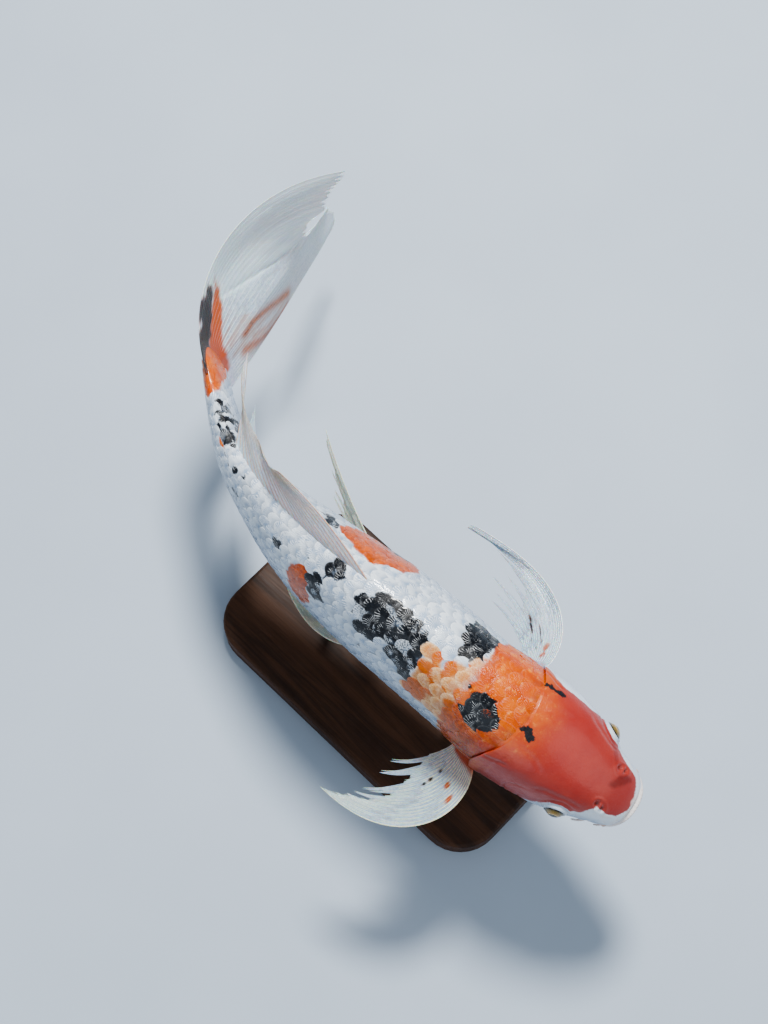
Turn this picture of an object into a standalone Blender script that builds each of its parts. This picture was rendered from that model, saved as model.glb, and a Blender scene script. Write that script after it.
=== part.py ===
"""A long-finned koi carp, 0.41 m from snout to tail root, in a gently curved swimming pose on a plain display stand.

Metres, +Z up. The fish heads towards -Y and its right side faces -X. The origin lies on the floor under the middle
of the whole model. The body is one loft along a curved midline, parted into head, trunk and tail by thin cuts, and
each fin is a fan of rays that leaves the body at named places and angles.
"""
import math

import bmesh
import bpy
import numpy as np
from mathutils import Matrix, Vector

# ---- driving dimensions ----------------------------------------------------------------
SNOUT = (-0.0324, -0.2245)  # where the snout's tip is, seen from above
SPINE_LEVEL = 0.150  # height of the midline over the floor
BODY_END = 0.424  # the flesh ends inside the tail fin
TRUNK_END = 0.352  # behind the dorsal and anal fins
GAP = 0.0004  # clearance between touching pieces
AROUND = 32  # faces round the body

# The midline's heading, in degrees from +Y towards +X, at distances behind the snout.
HEADINGS = (
    (0.000, -11.0),
    (0.025, -9.8),
    (0.050, -4.5),
    (0.078, -6.3),
    (0.140, -1.5),
    (0.210, -4.0),
    (0.270, 1.5),
    (0.320, 10.0),
    (0.365, 30.0),
    (0.410, 36.0),
    (0.430, 36.0),
)
# Distance behind the snout, half width, top, bottom, squareness above and below the widest level.
STATIONS = (
    (0.000, 0.0000, -0.0120, -0.0120, 1.00, 1.00),
    (0.003, 0.0118, -0.0050, -0.0188, 0.95, 0.95),
    (0.010, 0.0190, 0.0035, -0.0250, 0.86, 0.92),
    (0.024, 0.0240, 0.0160, -0.0318, 0.80, 0.90),
    (0.042, 0.0310, 0.0268, -0.0380, 0.78, 0.88),
    (0.060, 0.0359, 0.0348, -0.0430, 0.80, 0.86),
    (0.082, 0.0380, 0.0416, -0.0476, 0.84, 0.86),
    (0.104, 0.0373, 0.0460, -0.0508, 0.88, 0.88),
    (0.128, 0.0352, 0.0492, -0.0534, 0.93, 0.91),
    (0.160, 0.0354, 0.0524, -0.0552, 0.96, 0.93),
    (0.195, 0.0348, 0.0528, -0.0556, 0.97, 0.94),
    (0.230, 0.0321, 0.0496, -0.0540, 0.98, 0.95),
    (0.265, 0.0282, 0.0434, -0.0490, 0.98, 0.96),
    (0.290, 0.0236, 0.0382, -0.0432, 0.98, 0.97),
    (0.312, 0.0190, 0.0336, -0.0370, 0.98, 0.98),
    (0.335, 0.0150, 0.0292, -0.0312, 0.98, 0.98),
    (0.365, 0.0110, 0.0250, -0.0256, 0.98, 0.98),
    (0.390, 0.0086, 0.0236, -0.0236, 0.98, 0.98),
    (0.408, 0.0062, 0.0238, -0.0236, 0.98, 0.98),
    (0.424, 0.0026, 0.0205, -0.0205, 0.98, 0.98),
)
# How far the body is rolled towards its right side, in degrees, and more so at the tail.
ROLL = ((0.0, -7.0), (0.28, -7.0), (0.345, -8.5), (0.385, -11.0), (0.412, -14.0), (0.430, -15.0))
WIDEST = 0.47  # how far up the section its widest level lies

# The rear edge of head and gill covers: angle from the back, and distance behind the snout.
GILL_EDGE = (
    (0, 0.080),
    (30, 0.085),
    (55, 0.092),
    (80, 0.0975),
    (100, 0.0985),
    (120, 0.0955),
    (140, 0.087),
    (160, 0.073),
    (180, 0.066),
)
COVER_TOP, COVER_FOOT = 42.0, 140.0  # angles where the gill cover begins and ends
COVER_LENGTH, COVER_DEPTH = 0.036, 0.0030

EYE_AT, EYE_ANGLE, EYE_RADIUS, EYE_INSET = 0.0395, 77.0, 0.0088, 0.0043
MOUTH_LENGTH, MOUTH_CORNER_ANGLE = 0.0165, 116.0
LIP_RADIUS, LIP_OFFSET = 0.0023, 0.0028
BARBELS = (
    ("front", 0.0120, 92.0, 0.008, 0.0008),
    ("rear", 0.0215, 118.0, 0.016, 0.0010),
)  # name, distance behind the snout, angle from the back, length, radius

FIN_ROOT_DEPTH = 0.004
FIN_ROOT_THICK, FIN_TIP_THICK = 0.0018, 0.0007
# Each ray row: place across the fin, angle outward and upward from straight back, how far each turns by the tip, length.
FINS = {
    "pectoral_fin_left": dict(
        side=1, root_s=(0.101, 0.114), root_angle=(102, 114), early=2.15,
        rays=((0.0, 112, -6, -117, 4, 0.1354), (0.2, 106, -7, -110, 3, 0.1310), (0.45, 90, -8, -76, 2, 0.0935),
              (0.7, 82, -10, -68, 0, 0.0772), (1.0, 77, -12, -69, -2, 0.0535)),
    ),
    "pectoral_fin_right": dict(
        side=-1, root_s=(0.101, 0.114), root_angle=(102, 114), early=1.49,
        rays=((0.0, 136, -6, -141, 4, 0.1307), (0.2, 130, -7, -124, 3, 0.1080), (0.45, 118, -8, -99, 2, 0.0898),
              (0.7, 100, -10, -66, 0, 0.0735), (1.0, 79, -12, -47, -2, 0.0458)),
    ),
    "pelvic_fin_left": dict(
        side=1, root_s=(0.200, 0.212), root_angle=(152, 164), early=0.6,
        rays=((0.0, 20, 0, 16, 12, 0.1348), (0.5, 23, -6, 6, 10, 0.1071), (1.0, 27, -12, -4, 8, 0.0880)),
    ),
    "pelvic_fin_right": dict(
        side=-1, root_s=(0.200, 0.212), root_angle=(152, 164), early=1.56,
        rays=((0.0, 59, -4, -90, 8, 0.0856), (0.5, 61, -10, -87, 8, 0.0724), (1.0, 65, -16, -82, 6, 0.0547)),
    ),
    "dorsal_fin": dict(
        side=1, root_s=(0.205, 0.338), root_angle=(0, 0),
        rays=((0.0, 17, 22, -12, -28, 0.0975), (0.33, 13, 20, 4, -26, 0.0764), (0.66, 16, 16, 22, -22, 0.0723),
              (1.0, 41, 13, -13, -18, 0.0708)),
    ),
    "anal_fin": dict(
        side=1, root_s=(0.308, 0.334), root_angle=(180, 180),
        rays=((0.0, 17, -30, 22, 22, 0.1028), (0.5, 8, -26, 36, 18, 0.0732), (1.0, 4, -20, 30, 12, 0.044)),
    ),
    "caudal_fin": dict(
        side=1, root_s=(0.402, 0.412, 0.415, 0.412, 0.397), root_level=(-0.0235, -0.012, 0.0, 0.012, 0.0245), early=1.13,
        rays=((0.0, 35, -24, -3, 8, 0.1858), (0.15, 41, -18, -11, 6, 0.1730), (0.37, 42, -6, -4, 2, 0.1500),
              (0.5, 29, 0, 28, 0, 0.1175), (0.6, 19, 5, 46, -4, 0.1250), (0.75, 4, 12, 79, -8, 0.1464),
              (1.0, -9, 22, 101, -22, 0.1866)),
    ),
}
FIN_RAYS, FIN_STEPS = 9, 10  # how finely each fin's plate is faceted

BASE_WIDTH, BASE_LENGTH, BASE_THICK = 0.130, 0.250, 0.018
BASE_CORNER, BASE_EDGE = 0.030, 0.0025
BASE_CENTRE_AT = 0.190  # under this place of the midline
ROD_RADIUS, ROD_SOCKET = 0.0035, 0.010
RODS = {"stand_rod_front": 0.140, "stand_rod_rear": 0.250}

RISE = np.array([0.0, 0.0, 1.0])


# ---- the body's shape ------------------------------------------------------------------
def smooth_curve(x, xk, yk):
    """Piecewise cubic through knots that never overshoots them."""
    xk, yk, x = np.asarray(xk, float), np.asarray(yk, float), np.asarray(x, float)
    h = np.diff(xk)
    d = np.diff(yk) / h
    m = np.zeros(len(xk))
    for i in range(1, len(xk) - 1):
        if d[i - 1] * d[i] > 0:
            w1, w2 = 2 * h[i] + h[i - 1], h[i] + 2 * h[i - 1]
            m[i] = (w1 + w2) / (w1 / d[i - 1] + w2 / d[i])
    m[0], m[-1] = d[0], d[-1]
    i = np.clip(np.searchsorted(xk, x) - 1, 0, len(h) - 1)
    t = (x - xk[i]) / h[i]
    return (
        (1 + 2 * t) * (1 - t) ** 2 * yk[i]
        + t * (1 - t) ** 2 * h[i] * m[i]
        + t * t * (3 - 2 * t) * yk[i + 1]
        + t * t * (t - 1) * h[i] * m[i + 1]
    )


ALONG = np.linspace(-0.02, 0.46, 961)
TURN = np.radians(smooth_curve(np.clip(ALONG, 0, HEADINGS[-1][0]), *zip(*HEADINGS)))


def run_along(v):
    """The running integral of v along the midline, zero at the snout."""
    total = np.concatenate([[0], np.cumsum((v[1:] + v[:-1]) / 2 * (ALONG[1] - ALONG[0]))])
    return total - np.interp(0, ALONG, total)


SPINE_X = SNOUT[0] + run_along(np.sin(TURN))
SPINE_Y = SNOUT[1] + run_along(np.cos(TURN))


def spine(s):
    """Point, backward direction and leftward direction of the midline."""
    x, y, a = (np.interp(s, ALONG, v) for v in (SPINE_X, SPINE_Y, TURN))
    zero = np.zeros_like(x)
    return (
        np.stack([x, y, zero + SPINE_LEVEL], -1),
        np.stack([np.sin(a), np.cos(a), zero], -1),
        np.stack([np.cos(a), -np.sin(a), zero], -1),
    )


def section(s):
    """Half width, top, bottom and the two squarenesses. The root of the distance makes the snout round."""
    q = np.sqrt(np.clip(s, 0, BODY_END))
    knots = np.sqrt([row[0] for row in STATIONS])
    return [smooth_curve(q, knots, [row[k] for row in STATIONS]) for k in range(1, 6)]


def widest(s):
    _, top, bottom, _, _ = section(s)
    return bottom + (top - bottom) * WIDEST


def roll(s):
    return np.radians(smooth_curve(np.clip(s, 0, ROLL[-1][0]), *zip(*ROLL)))


def skin(s, angle):
    """A point of the skin. The angle is 0 on the back, pi/2 on the left flank and pi on the belly."""
    s, angle = np.broadcast_arrays(np.asarray(s, float), np.asarray(angle, float))
    half, top, bottom, above, below = section(s)
    level = bottom + (top - bottom) * WIDEST
    c, q = np.cos(angle), np.sin(angle)
    e = np.where(c > 0, above, below)
    out = half * np.sign(q) * np.abs(q) ** e
    up = level + np.where(c > 0, top - level, bottom - level) * np.abs(c) ** e
    p, _, left = spine(s)
    r = roll(s)
    across, over = out * np.cos(r) + up * np.sin(r), up * np.cos(r) - out * np.sin(r)
    return p + left * across[..., None] + RISE * over[..., None]


def skin_normal(s, angle):
    """Outward normal of the skin, by small differences."""
    ds, da = 0.0004, 0.02
    along = skin(np.asarray(s) + ds, angle) - skin(np.maximum(np.asarray(s) - ds, 0), angle)
    about = skin(s, np.asarray(angle) + da) - skin(s, np.asarray(angle) - da)
    n = np.cross(along, about)
    n /= np.maximum(np.linalg.norm(n, axis=-1, keepdims=True), 1e-12)
    c, _, _ = spine(s)
    inward = ((skin(s, angle) - c - RISE * widest(s)[..., None]) * n).sum(-1) < 0
    n[inward] *= -1
    return n


def gill_edge(angle):
    """Distance behind the snout at which the head ends, by the angle from the back on either side."""
    folded = np.degrees(np.arccos(np.clip(np.cos(angle), -1, 1)))
    return smooth_curve(folded, *zip(*GILL_EDGE))


# ---- mesh helpers ----------------------------------------------------------------------
def clear_scene():
    for obj in list(bpy.data.objects):
        bpy.data.objects.remove(obj, do_unlink=True)


def material(name, colour, roughness, metallic=0.0):
    made = bpy.data.materials.new(name)
    made.use_nodes = True
    shader = made.node_tree.nodes["Principled BSDF"]
    shader.inputs["Base Color"].default_value = (*colour, 1.0)
    shader.inputs["Roughness"].default_value = roughness
    shader.inputs["Metallic"].default_value = metallic
    made.diffuse_color = (*colour, 1.0)
    return made


def finish_object(name, bm, mat, smooth_angle=40.0):
    bmesh.ops.recalc_face_normals(bm, faces=bm.faces)
    mesh = bpy.data.meshes.new(name)
    bm.to_mesh(mesh)
    bm.free()
    mesh.shade_smooth()
    mesh.set_sharp_from_angle(angle=math.radians(smooth_angle))
    obj = bpy.data.objects.new(name, mesh)
    bpy.context.scene.collection.objects.link(obj)
    if mat:
        mesh.materials.append(mat)
    return obj


def as_cutter(obj):
    obj.hide_render = True
    obj.display_type = "WIRE"
    return obj


def cut(obj, cutter, name="cut"):
    modifier = obj.modifiers.new(name, "BOOLEAN")
    modifier.operation = "DIFFERENCE"
    modifier.object = cutter


def loft(rings, first=None, last=None):
    """A closed mesh through rings of points. first and last are end points, which their rings fan out to."""
    bm = bmesh.new()
    loops = [[bm.verts.new(p) for p in ring] for ring in rings]
    n = len(loops[0])
    for a, b in zip(loops, loops[1:]):
        for i in range(n):
            j = (i + 1) % n
            bm.faces.new((a[i], a[j], b[j], b[i]))
    for tip, ring in ((first, loops[0]), (last, loops[-1])):
        if tip is None:
            bm.faces.new(ring)
            continue
        centre = bm.verts.new(tip)
        for i in range(n):
            bm.faces.new((centre, ring[i], ring[(i + 1) % n]))
    return bm


def plate(upper, lower):
    """A closed plate between two grids of points."""
    bm = bmesh.new()
    rows, cols = upper.shape[:2]
    top, foot = (
        [[bm.verts.new(points[i, j]) for j in range(cols)] for i in range(rows)]
        for points in (upper, lower)
    )
    for i in range(rows - 1):
        for j in range(cols - 1):
            bm.faces.new((top[i][j], top[i][j + 1], top[i + 1][j + 1], top[i + 1][j]))
            bm.faces.new((foot[i][j], foot[i + 1][j], foot[i + 1][j + 1], foot[i][j + 1]))
    rim = (
        [(i, 0) for i in range(rows)]
        + [(rows - 1, j) for j in range(1, cols)]
        + [(i, cols - 1) for i in range(rows - 2, -1, -1)]
        + [(0, j) for j in range(cols - 2, 0, -1)]
    )
    for (i, j), (k, m) in zip(rim, rim[1:] + rim[:1]):
        bm.faces.new((top[i][j], top[k][m], foot[k][m], foot[i][j]))
    return bm


def tube(points, radii, sides=10):
    """A closed round tube along points."""
    points = [Vector(p) for p in points]
    rings = []
    for i, p in enumerate(points):
        ahead = (points[min(i + 1, len(points) - 1)] - points[max(i - 1, 0)]).normalized()
        side = ahead.cross(Vector((0, 0, 1))).normalized()
        top = side.cross(ahead)
        rings.append(
            [
                p + (side * math.cos(a) + top * math.sin(a)) * radii[i]
                for a in (2 * math.pi * k / sides for k in range(sides))
            ]
        )
    return loft(rings)


# ---- body pieces -----------------------------------------------------------------------
ANGLES = np.linspace(0, 2 * np.pi, AROUND, endpoint=False)


def ring_at(s, grow=0.0):
    s = np.broadcast_to(s, ANGLES.shape)
    points = skin(s, ANGLES)
    return points + skin_normal(s, ANGLES) * grow if grow else points


def midpoint(s):
    p, _, _ = spine(np.array(s))
    return p + RISE * widest(np.array(s))


def build_body(skin_mat):
    shares = np.linspace(0, 1, 14)
    nose = np.sqrt(0.0006)
    edge = gill_edge(ANGLES)
    # Rings bunch at the snout and lean over into the gill covers' rear edge.
    head_rings = [ring_at((nose + (np.sqrt(edge) - nose) * f) ** 2) for f in shares]
    head = finish_object(
        "head", loft(head_rings, first=skin(0.0, 0.0), last=midpoint(0.092)), skin_mat
    )
    trunk_at = np.linspace(0, 1, 17)
    trunk_rings = [ring_at(edge + GAP + (TRUNK_END - edge - GAP) * f) for f in trunk_at]
    trunk = finish_object(
        "trunk",
        loft(trunk_rings, first=midpoint(0.092 + GAP), last=midpoint(TRUNK_END)),
        skin_mat,
    )
    tail_rings = [ring_at(s) for s in np.linspace(TRUNK_END + GAP, BODY_END, 7)]
    tail = finish_object(
        "tail",
        loft(tail_rings, first=midpoint(TRUNK_END + GAP), last=midpoint(BODY_END + 0.001)),
        skin_mat,
    )
    clear_at = [0.0006] + [(nose + (math.sqrt(0.092) - nose) * f) ** 2 for f in shares[1:]]
    clear_at += list(np.linspace(0.092, BODY_END, 24)[1:])
    clearance = finish_object(
        "body_clearance",
        loft(
            [ring_at(s, GAP) for s in clear_at],
            first=skin(0.0, 0.0) - spine(np.array(0.0))[1] * GAP,
            last=midpoint(BODY_END + 0.001 + GAP),
        ),
        None,
    )
    return head, trunk, tail, as_cutter(clearance)


def cover_plate(side, above, depth, swell=0.0):
    """The gill cover's two faces: a D whose round edge is the head's rear edge. The inner face stops short of the trunk, whose front bulges forward."""
    angles = np.radians(np.linspace(COVER_TOP - swell * 900, COVER_FOOT + swell * 900, 9))
    share = (np.degrees(angles) - COVER_TOP) / (COVER_FOOT - COVER_TOP)
    length = COVER_LENGTH * (0.30 + 0.70 * np.sin(np.pi * np.clip(share, 0, 1)) ** 0.6)
    rear = gill_edge(angles) + (0.006 if swell else 0.0)
    front = gill_edge(angles) - length - swell
    f = np.linspace(0, 1, 6)
    s = front[:, None] + (rear - front)[:, None] * f
    a = np.broadcast_to(angles[:, None], s.shape) * side
    inner = s if swell else s - 0.6 * depth * f**4
    return (
        skin(s, a) + skin_normal(s, a) * above,
        skin(inner, a) - skin_normal(inner, a) * depth,
    )


def build_gill_cover(name, side, head, mat):
    cover = finish_object(name, plate(*cover_plate(side, 0.0, COVER_DEPTH)), mat)
    pocket = finish_object(
        name + "_pocket", plate(*cover_plate(side, 0.004, COVER_DEPTH + GAP, GAP * 1.5)), None
    )
    cut(head, as_cutter(pocket), "gill pocket")
    return cover


def eye_centre(side):
    s, a = np.array(EYE_AT), np.array(math.radians(EYE_ANGLE) * side)
    return skin(s, a) - skin_normal(s[None], a[None])[0] * EYE_INSET


def ball(name, centre, radius, mat):
    bm = bmesh.new()
    bmesh.ops.create_uvsphere(bm, u_segments=18, v_segments=10, radius=radius)
    obj = finish_object(name, bm, mat)
    obj.location = centre
    return obj


def mouth_line(offset, reach=1.0, count=13):
    """Points along the closed mouth from its left corner round the snout to its right one, raised by offset."""
    points = []
    for f in np.linspace(1, -1, count) * reach:
        s = MOUTH_LENGTH * f * f + 1e-5
        a = math.radians(90 + (MOUTH_CORNER_ANGLE - 90) * abs(f)) * (1 if f >= 0 else -1)
        points.append(skin(np.array(s), np.array(a)) + RISE * offset)
    # A straight start and end would leave the ends flat against the cheek, so the run is rounded.
    return points


def build_lip(name, offset, head, mat):
    points = mouth_line(offset)
    share = np.abs(np.linspace(-1, 1, len(points)))
    radii = LIP_RADIUS * (1 - 0.55 * share**3)
    inward = spine(np.array(0.0))[1] * 0.0006
    points = [p + inward for p in points]
    lip = finish_object(name, tube(points, radii), mat)
    pocket = finish_object(name + "_pocket", tube(points, radii + GAP * 1.3), None)
    # The pocket's ends reach past the lip's, so that they stay clear as well.
    for vertex in pocket.data.vertices:
        nearest = min((points[0], points[-1]), key=lambda p: (vertex.co - Vector(p)).length)
        if (vertex.co - Vector(nearest)).length < LIP_RADIUS * 1.2:
            vertex.co += (Vector(nearest) - Vector(points[len(points) // 2])).normalized() * GAP
    cut(head, as_cutter(pocket), name + " pocket")
    return lip


def build_barbel(name, s, angle, length, radius, side, mat):
    a = math.radians(angle) * side
    root = skin(np.array(s), np.array(a))
    normal = skin_normal(np.array([s]), np.array([a]))[0]
    _, back, left = spine(np.array(s))
    out = left * side
    points = []
    p = root + normal * (GAP + radius * 0.4)
    for k in range(7):
        points.append(p.copy())
        f = k / 6
        d = out * (0.45 - 0.35 * f) + back * (0.35 + 0.55 * f) - RISE * (0.95 - 0.10 * f)
        p = p + d / np.linalg.norm(d) * length / 6
    radii = [radius - (radius - 0.0005) * k / 6 for k in range(7)]
    return finish_object(name, tube(points, radii, 8), mat)


# ---- fins ------------------------------------------------------------------------------
def fin_surface(fin, u, t):
    """Mid-surface of a fin at u across its rays and t along them."""
    u, t = np.asarray(u, float), np.asarray(t, float)
    knots = [row[0] for row in fin["rays"]]
    a0, b0, da, db, length = (
        smooth_curve(u, knots, [row[i] for row in fin["rays"]]) for i in range(1, 6)
    )
    side = fin["side"]
    s = smooth_curve(u, np.linspace(0, 1, len(fin["root_s"])), fin["root_s"])
    c, back, left = spine(s)
    if "root_level" in fin:
        level = smooth_curve(u, np.linspace(0, 1, len(fin["root_level"])), fin["root_level"])
        r = roll(s)
        p = c + (RISE * np.cos(r)[:, None] + left * np.sin(r)[:, None]) * level[:, None]
    else:
        angle = smooth_curve(u, np.linspace(0, 1, len(fin["root_angle"])), fin["root_angle"])
        p = skin(s, np.radians(angle) * side)
        inward = c + RISE * widest(s)[:, None] - p
        p = p + inward * (FIN_ROOT_DEPTH / np.linalg.norm(inward, axis=-1))[:, None]
    out = np.zeros((len(u), len(t), 3))
    out[:, 0] = p
    steps = 6
    for j in range(1, len(t)):
        for m in range(steps):
            f = t[j - 1] + (t[j] - t[j - 1]) * (m + 0.5) / steps
            turned = 1 - (1 - f) ** fin.get("early", 1.0)
            a, b = np.radians(a0 + da * turned)[:, None], np.radians(b0 + db * f)[:, None]
            d = (back * np.cos(a) + left * side * np.sin(a)) * np.cos(b) + RISE * np.sin(b)
            p = p + d * (length * (t[j] - t[j - 1]) / steps)[:, None]
        out[:, j] = p
    return out


def grid_normals(grid):
    du, dt = np.gradient(grid, axis=0), np.gradient(grid, axis=1)
    n = np.cross(du, dt)
    return n / np.maximum(np.linalg.norm(n, axis=-1, keepdims=True), 1e-12)


def build_fin(name, fin, clearance, mat, first=0.0, last=1.0, rays=FIN_RAYS):
    u = np.linspace(first, last, rays)
    t = np.linspace(0, 1, FIN_STEPS)
    grid = fin_surface(fin, u, t)
    thick = (FIN_ROOT_THICK + (FIN_TIP_THICK - FIN_ROOT_THICK) * t**0.7) / 2
    offset = grid_normals(grid) * thick[None, :, None]
    obj = finish_object(name, plate(grid + offset, grid - offset), mat)
    cut(obj, clearance, "clear of the body")
    return obj


# ---- stand -----------------------------------------------------------------------------
def build_base(mat):
    bm = bmesh.new()
    bmesh.ops.create_cube(bm, size=1.0)
    bmesh.ops.scale(bm, vec=(BASE_WIDTH, BASE_LENGTH, BASE_THICK), verts=bm.verts)
    upright = [e for e in bm.edges if abs(e.verts[0].co.z - e.verts[1].co.z) > 1e-6]
    bmesh.ops.bevel(
        bm, geom=upright, offset=BASE_CORNER, offset_type="OFFSET", segments=8, profile=0.5, affect="EDGES"
    )
    top = [e for e in bm.edges if all(v.co.z > BASE_THICK / 2 - 1e-6 for v in e.verts)]
    bmesh.ops.bevel(
        bm, geom=top, offset=BASE_EDGE, offset_type="OFFSET", segments=3, profile=0.5, affect="EDGES"
    )
    base = finish_object("stand_base", bm, mat, 30.0)
    centre, _, _ = spine(np.array(BASE_CENTRE_AT))
    base.location = (centre[0], centre[1], BASE_THICK / 2)
    return base


def cylinder(name, x, y, low, high, radius, mat):
    bm = bmesh.new()
    bmesh.ops.create_cone(
        bm, cap_ends=True, segments=20, radius1=radius, radius2=radius, depth=high - low
    )
    obj = finish_object(name, bm, mat, 30.0)
    obj.location = (x, y, (low + high) / 2)
    return obj


def build_rod(name, s, base, clearance, mat):
    centre, _, _ = spine(np.array(s))
    belly = skin(np.array(s), np.array(math.pi))[2]
    foot = BASE_THICK - ROD_SOCKET
    rod = cylinder(name, centre[0], centre[1], foot + GAP, belly + 0.004, ROD_RADIUS, mat)
    cut(rod, clearance, "clear of the belly")
    hole = cylinder(
        name + "_socket", centre[0], centre[1], foot, BASE_THICK + 0.01, ROD_RADIUS + GAP, None
    )
    cut(base, as_cutter(hole), "rod socket")
    return rod


# ---- the model -------------------------------------------------------------------------
def main():
    clear_scene()
    white_skin = material("koi_skin", (0.72, 0.70, 0.66), 0.38)
    head_skin = material("koi_head_skin", (0.62, 0.13, 0.06), 0.34)
    cover_skin = material("koi_gill_cover", (0.60, 0.16, 0.08), 0.34)
    lip_skin = material("koi_lip", (0.74, 0.66, 0.60), 0.40)
    fin_membrane = material("koi_fin", (0.66, 0.66, 0.64), 0.45)
    eye = material("koi_eye", (0.10, 0.08, 0.03), 0.08)
    wood = material("stand_wood", (0.085, 0.040, 0.020), 0.45)
    steel = material("stand_steel", (0.55, 0.55, 0.55), 0.30, 1.0)

    head, trunk, tail, clearance = build_body(white_skin)
    head.data.materials.clear()
    head.data.materials.append(head_skin)
    for side, hand in ((1, "left"), (-1, "right")):
        build_gill_cover("gill_cover_" + hand, side, head, cover_skin)
        centre = eye_centre(side)
        ball("eye_" + hand, centre, EYE_RADIUS, eye)
        socket = ball("eye_socket_" + hand, centre, EYE_RADIUS + GAP, None)
        cut(head, as_cutter(socket), "eye socket")
        for place, s, angle, length, radius in BARBELS:
            build_barbel(f"barbel_{place}_{hand}", s, angle, length, radius, side, lip_skin)
    build_lip("upper_lip", LIP_OFFSET, head, lip_skin)
    build_lip("lower_lip", -LIP_OFFSET, head, lip_skin)

    for name, fin in FINS.items():
        if name == "caudal_fin":
            split = 0.5
            build_fin("caudal_fin_lower", fin, clearance, fin_membrane, 0.0, split - 0.004, 7)
            build_fin("caudal_fin_upper", fin, clearance, fin_membrane, split + 0.004, 1.0, 7)
        else:
            build_fin(name, fin, clearance, fin_membrane)

    base = build_base(wood)
    for name, s in RODS.items():
        build_rod(name, s, base, clearance, steel)


main()
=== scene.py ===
"""The looks of a long-finned koi: one skin with scales, rayed fins, eyes and a plain stand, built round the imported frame.

Metres, +Z up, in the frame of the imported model. The fish heads towards -Y and its right side faces -X. The body's
shape repeats the construction's named stations, and every marking is a named outline in body coordinates.
"""

import math

import bpy
import numpy as np
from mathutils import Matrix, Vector


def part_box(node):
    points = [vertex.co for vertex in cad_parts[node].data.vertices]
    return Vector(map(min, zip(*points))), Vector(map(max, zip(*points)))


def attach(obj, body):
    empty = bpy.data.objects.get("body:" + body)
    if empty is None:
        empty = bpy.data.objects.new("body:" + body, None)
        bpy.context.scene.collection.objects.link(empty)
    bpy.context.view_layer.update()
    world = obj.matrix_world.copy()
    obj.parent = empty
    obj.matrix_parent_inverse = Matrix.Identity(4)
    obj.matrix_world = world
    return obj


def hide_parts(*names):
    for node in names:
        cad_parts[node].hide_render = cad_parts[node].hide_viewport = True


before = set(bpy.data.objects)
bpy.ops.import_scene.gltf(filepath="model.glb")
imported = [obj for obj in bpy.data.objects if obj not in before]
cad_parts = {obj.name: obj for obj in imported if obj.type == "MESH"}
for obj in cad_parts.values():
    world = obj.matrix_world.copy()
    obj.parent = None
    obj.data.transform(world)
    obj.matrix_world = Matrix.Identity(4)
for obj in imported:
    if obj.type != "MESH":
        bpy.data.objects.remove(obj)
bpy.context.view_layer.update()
MM = 0.001

# ---- the body's shape, as in the construction --------------------------------------------
SNOUT = (-0.0324, -0.2245)
SPINE_LEVEL = 0.150
BODY_END = 0.424
HEADINGS = (
    (0.000, -11.0),
    (0.025, -9.8),
    (0.050, -4.5),
    (0.078, -6.3),
    (0.140, -1.5),
    (0.210, -4.0),
    (0.270, 1.5),
    (0.320, 10.0),
    (0.365, 30.0),
    (0.410, 36.0),
    (0.430, 36.0),
)
STATIONS = (
    (0.000, 0.0000, -0.0120, -0.0120, 1.00, 1.00),
    (0.003, 0.0118, -0.0050, -0.0188, 0.95, 0.95),
    (0.010, 0.0190, 0.0035, -0.0250, 0.86, 0.92),
    (0.024, 0.0240, 0.0160, -0.0318, 0.80, 0.90),
    (0.042, 0.0310, 0.0268, -0.0380, 0.78, 0.88),
    (0.060, 0.0359, 0.0348, -0.0430, 0.80, 0.86),
    (0.082, 0.0380, 0.0416, -0.0476, 0.84, 0.86),
    (0.104, 0.0373, 0.0460, -0.0508, 0.88, 0.88),
    (0.128, 0.0352, 0.0492, -0.0534, 0.93, 0.91),
    (0.160, 0.0354, 0.0524, -0.0552, 0.96, 0.93),
    (0.195, 0.0348, 0.0528, -0.0556, 0.97, 0.94),
    (0.230, 0.0321, 0.0496, -0.0540, 0.98, 0.95),
    (0.265, 0.0282, 0.0434, -0.0490, 0.98, 0.96),
    (0.290, 0.0236, 0.0382, -0.0432, 0.98, 0.97),
    (0.312, 0.0190, 0.0336, -0.0370, 0.98, 0.98),
    (0.335, 0.0150, 0.0292, -0.0312, 0.98, 0.98),
    (0.365, 0.0110, 0.0250, -0.0256, 0.98, 0.98),
    (0.390, 0.0086, 0.0236, -0.0236, 0.98, 0.98),
    (0.408, 0.0062, 0.0238, -0.0236, 0.98, 0.98),
    (0.424, 0.0026, 0.0205, -0.0205, 0.98, 0.98),
)
ROLL = ((0.0, -7.0), (0.28, -7.0), (0.345, -8.5), (0.385, -11.0), (0.412, -14.0), (0.430, -15.0))
WIDEST = 0.47
GILL_EDGE = (
    (0, 0.080),
    (30, 0.085),
    (55, 0.092),
    (80, 0.0975),
    (100, 0.0985),
    (120, 0.0955),
    (140, 0.087),
    (160, 0.073),
    (180, 0.066),
)
EYE_AT, EYE_ANGLE, EYE_RADIUS, EYE_INSET = 0.0395, 77.0, 0.0088, 0.0038
MOUTH_LENGTH, MOUTH_CORNER_ANGLE = 0.0165, 116.0
BARBELS = (("front", 0.0120, 92.0, 0.008, 0.0008), ("rear", 0.0215, 118.0, 0.016, 0.0010))
FIN_ROOT_DEPTH = 0.004
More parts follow.
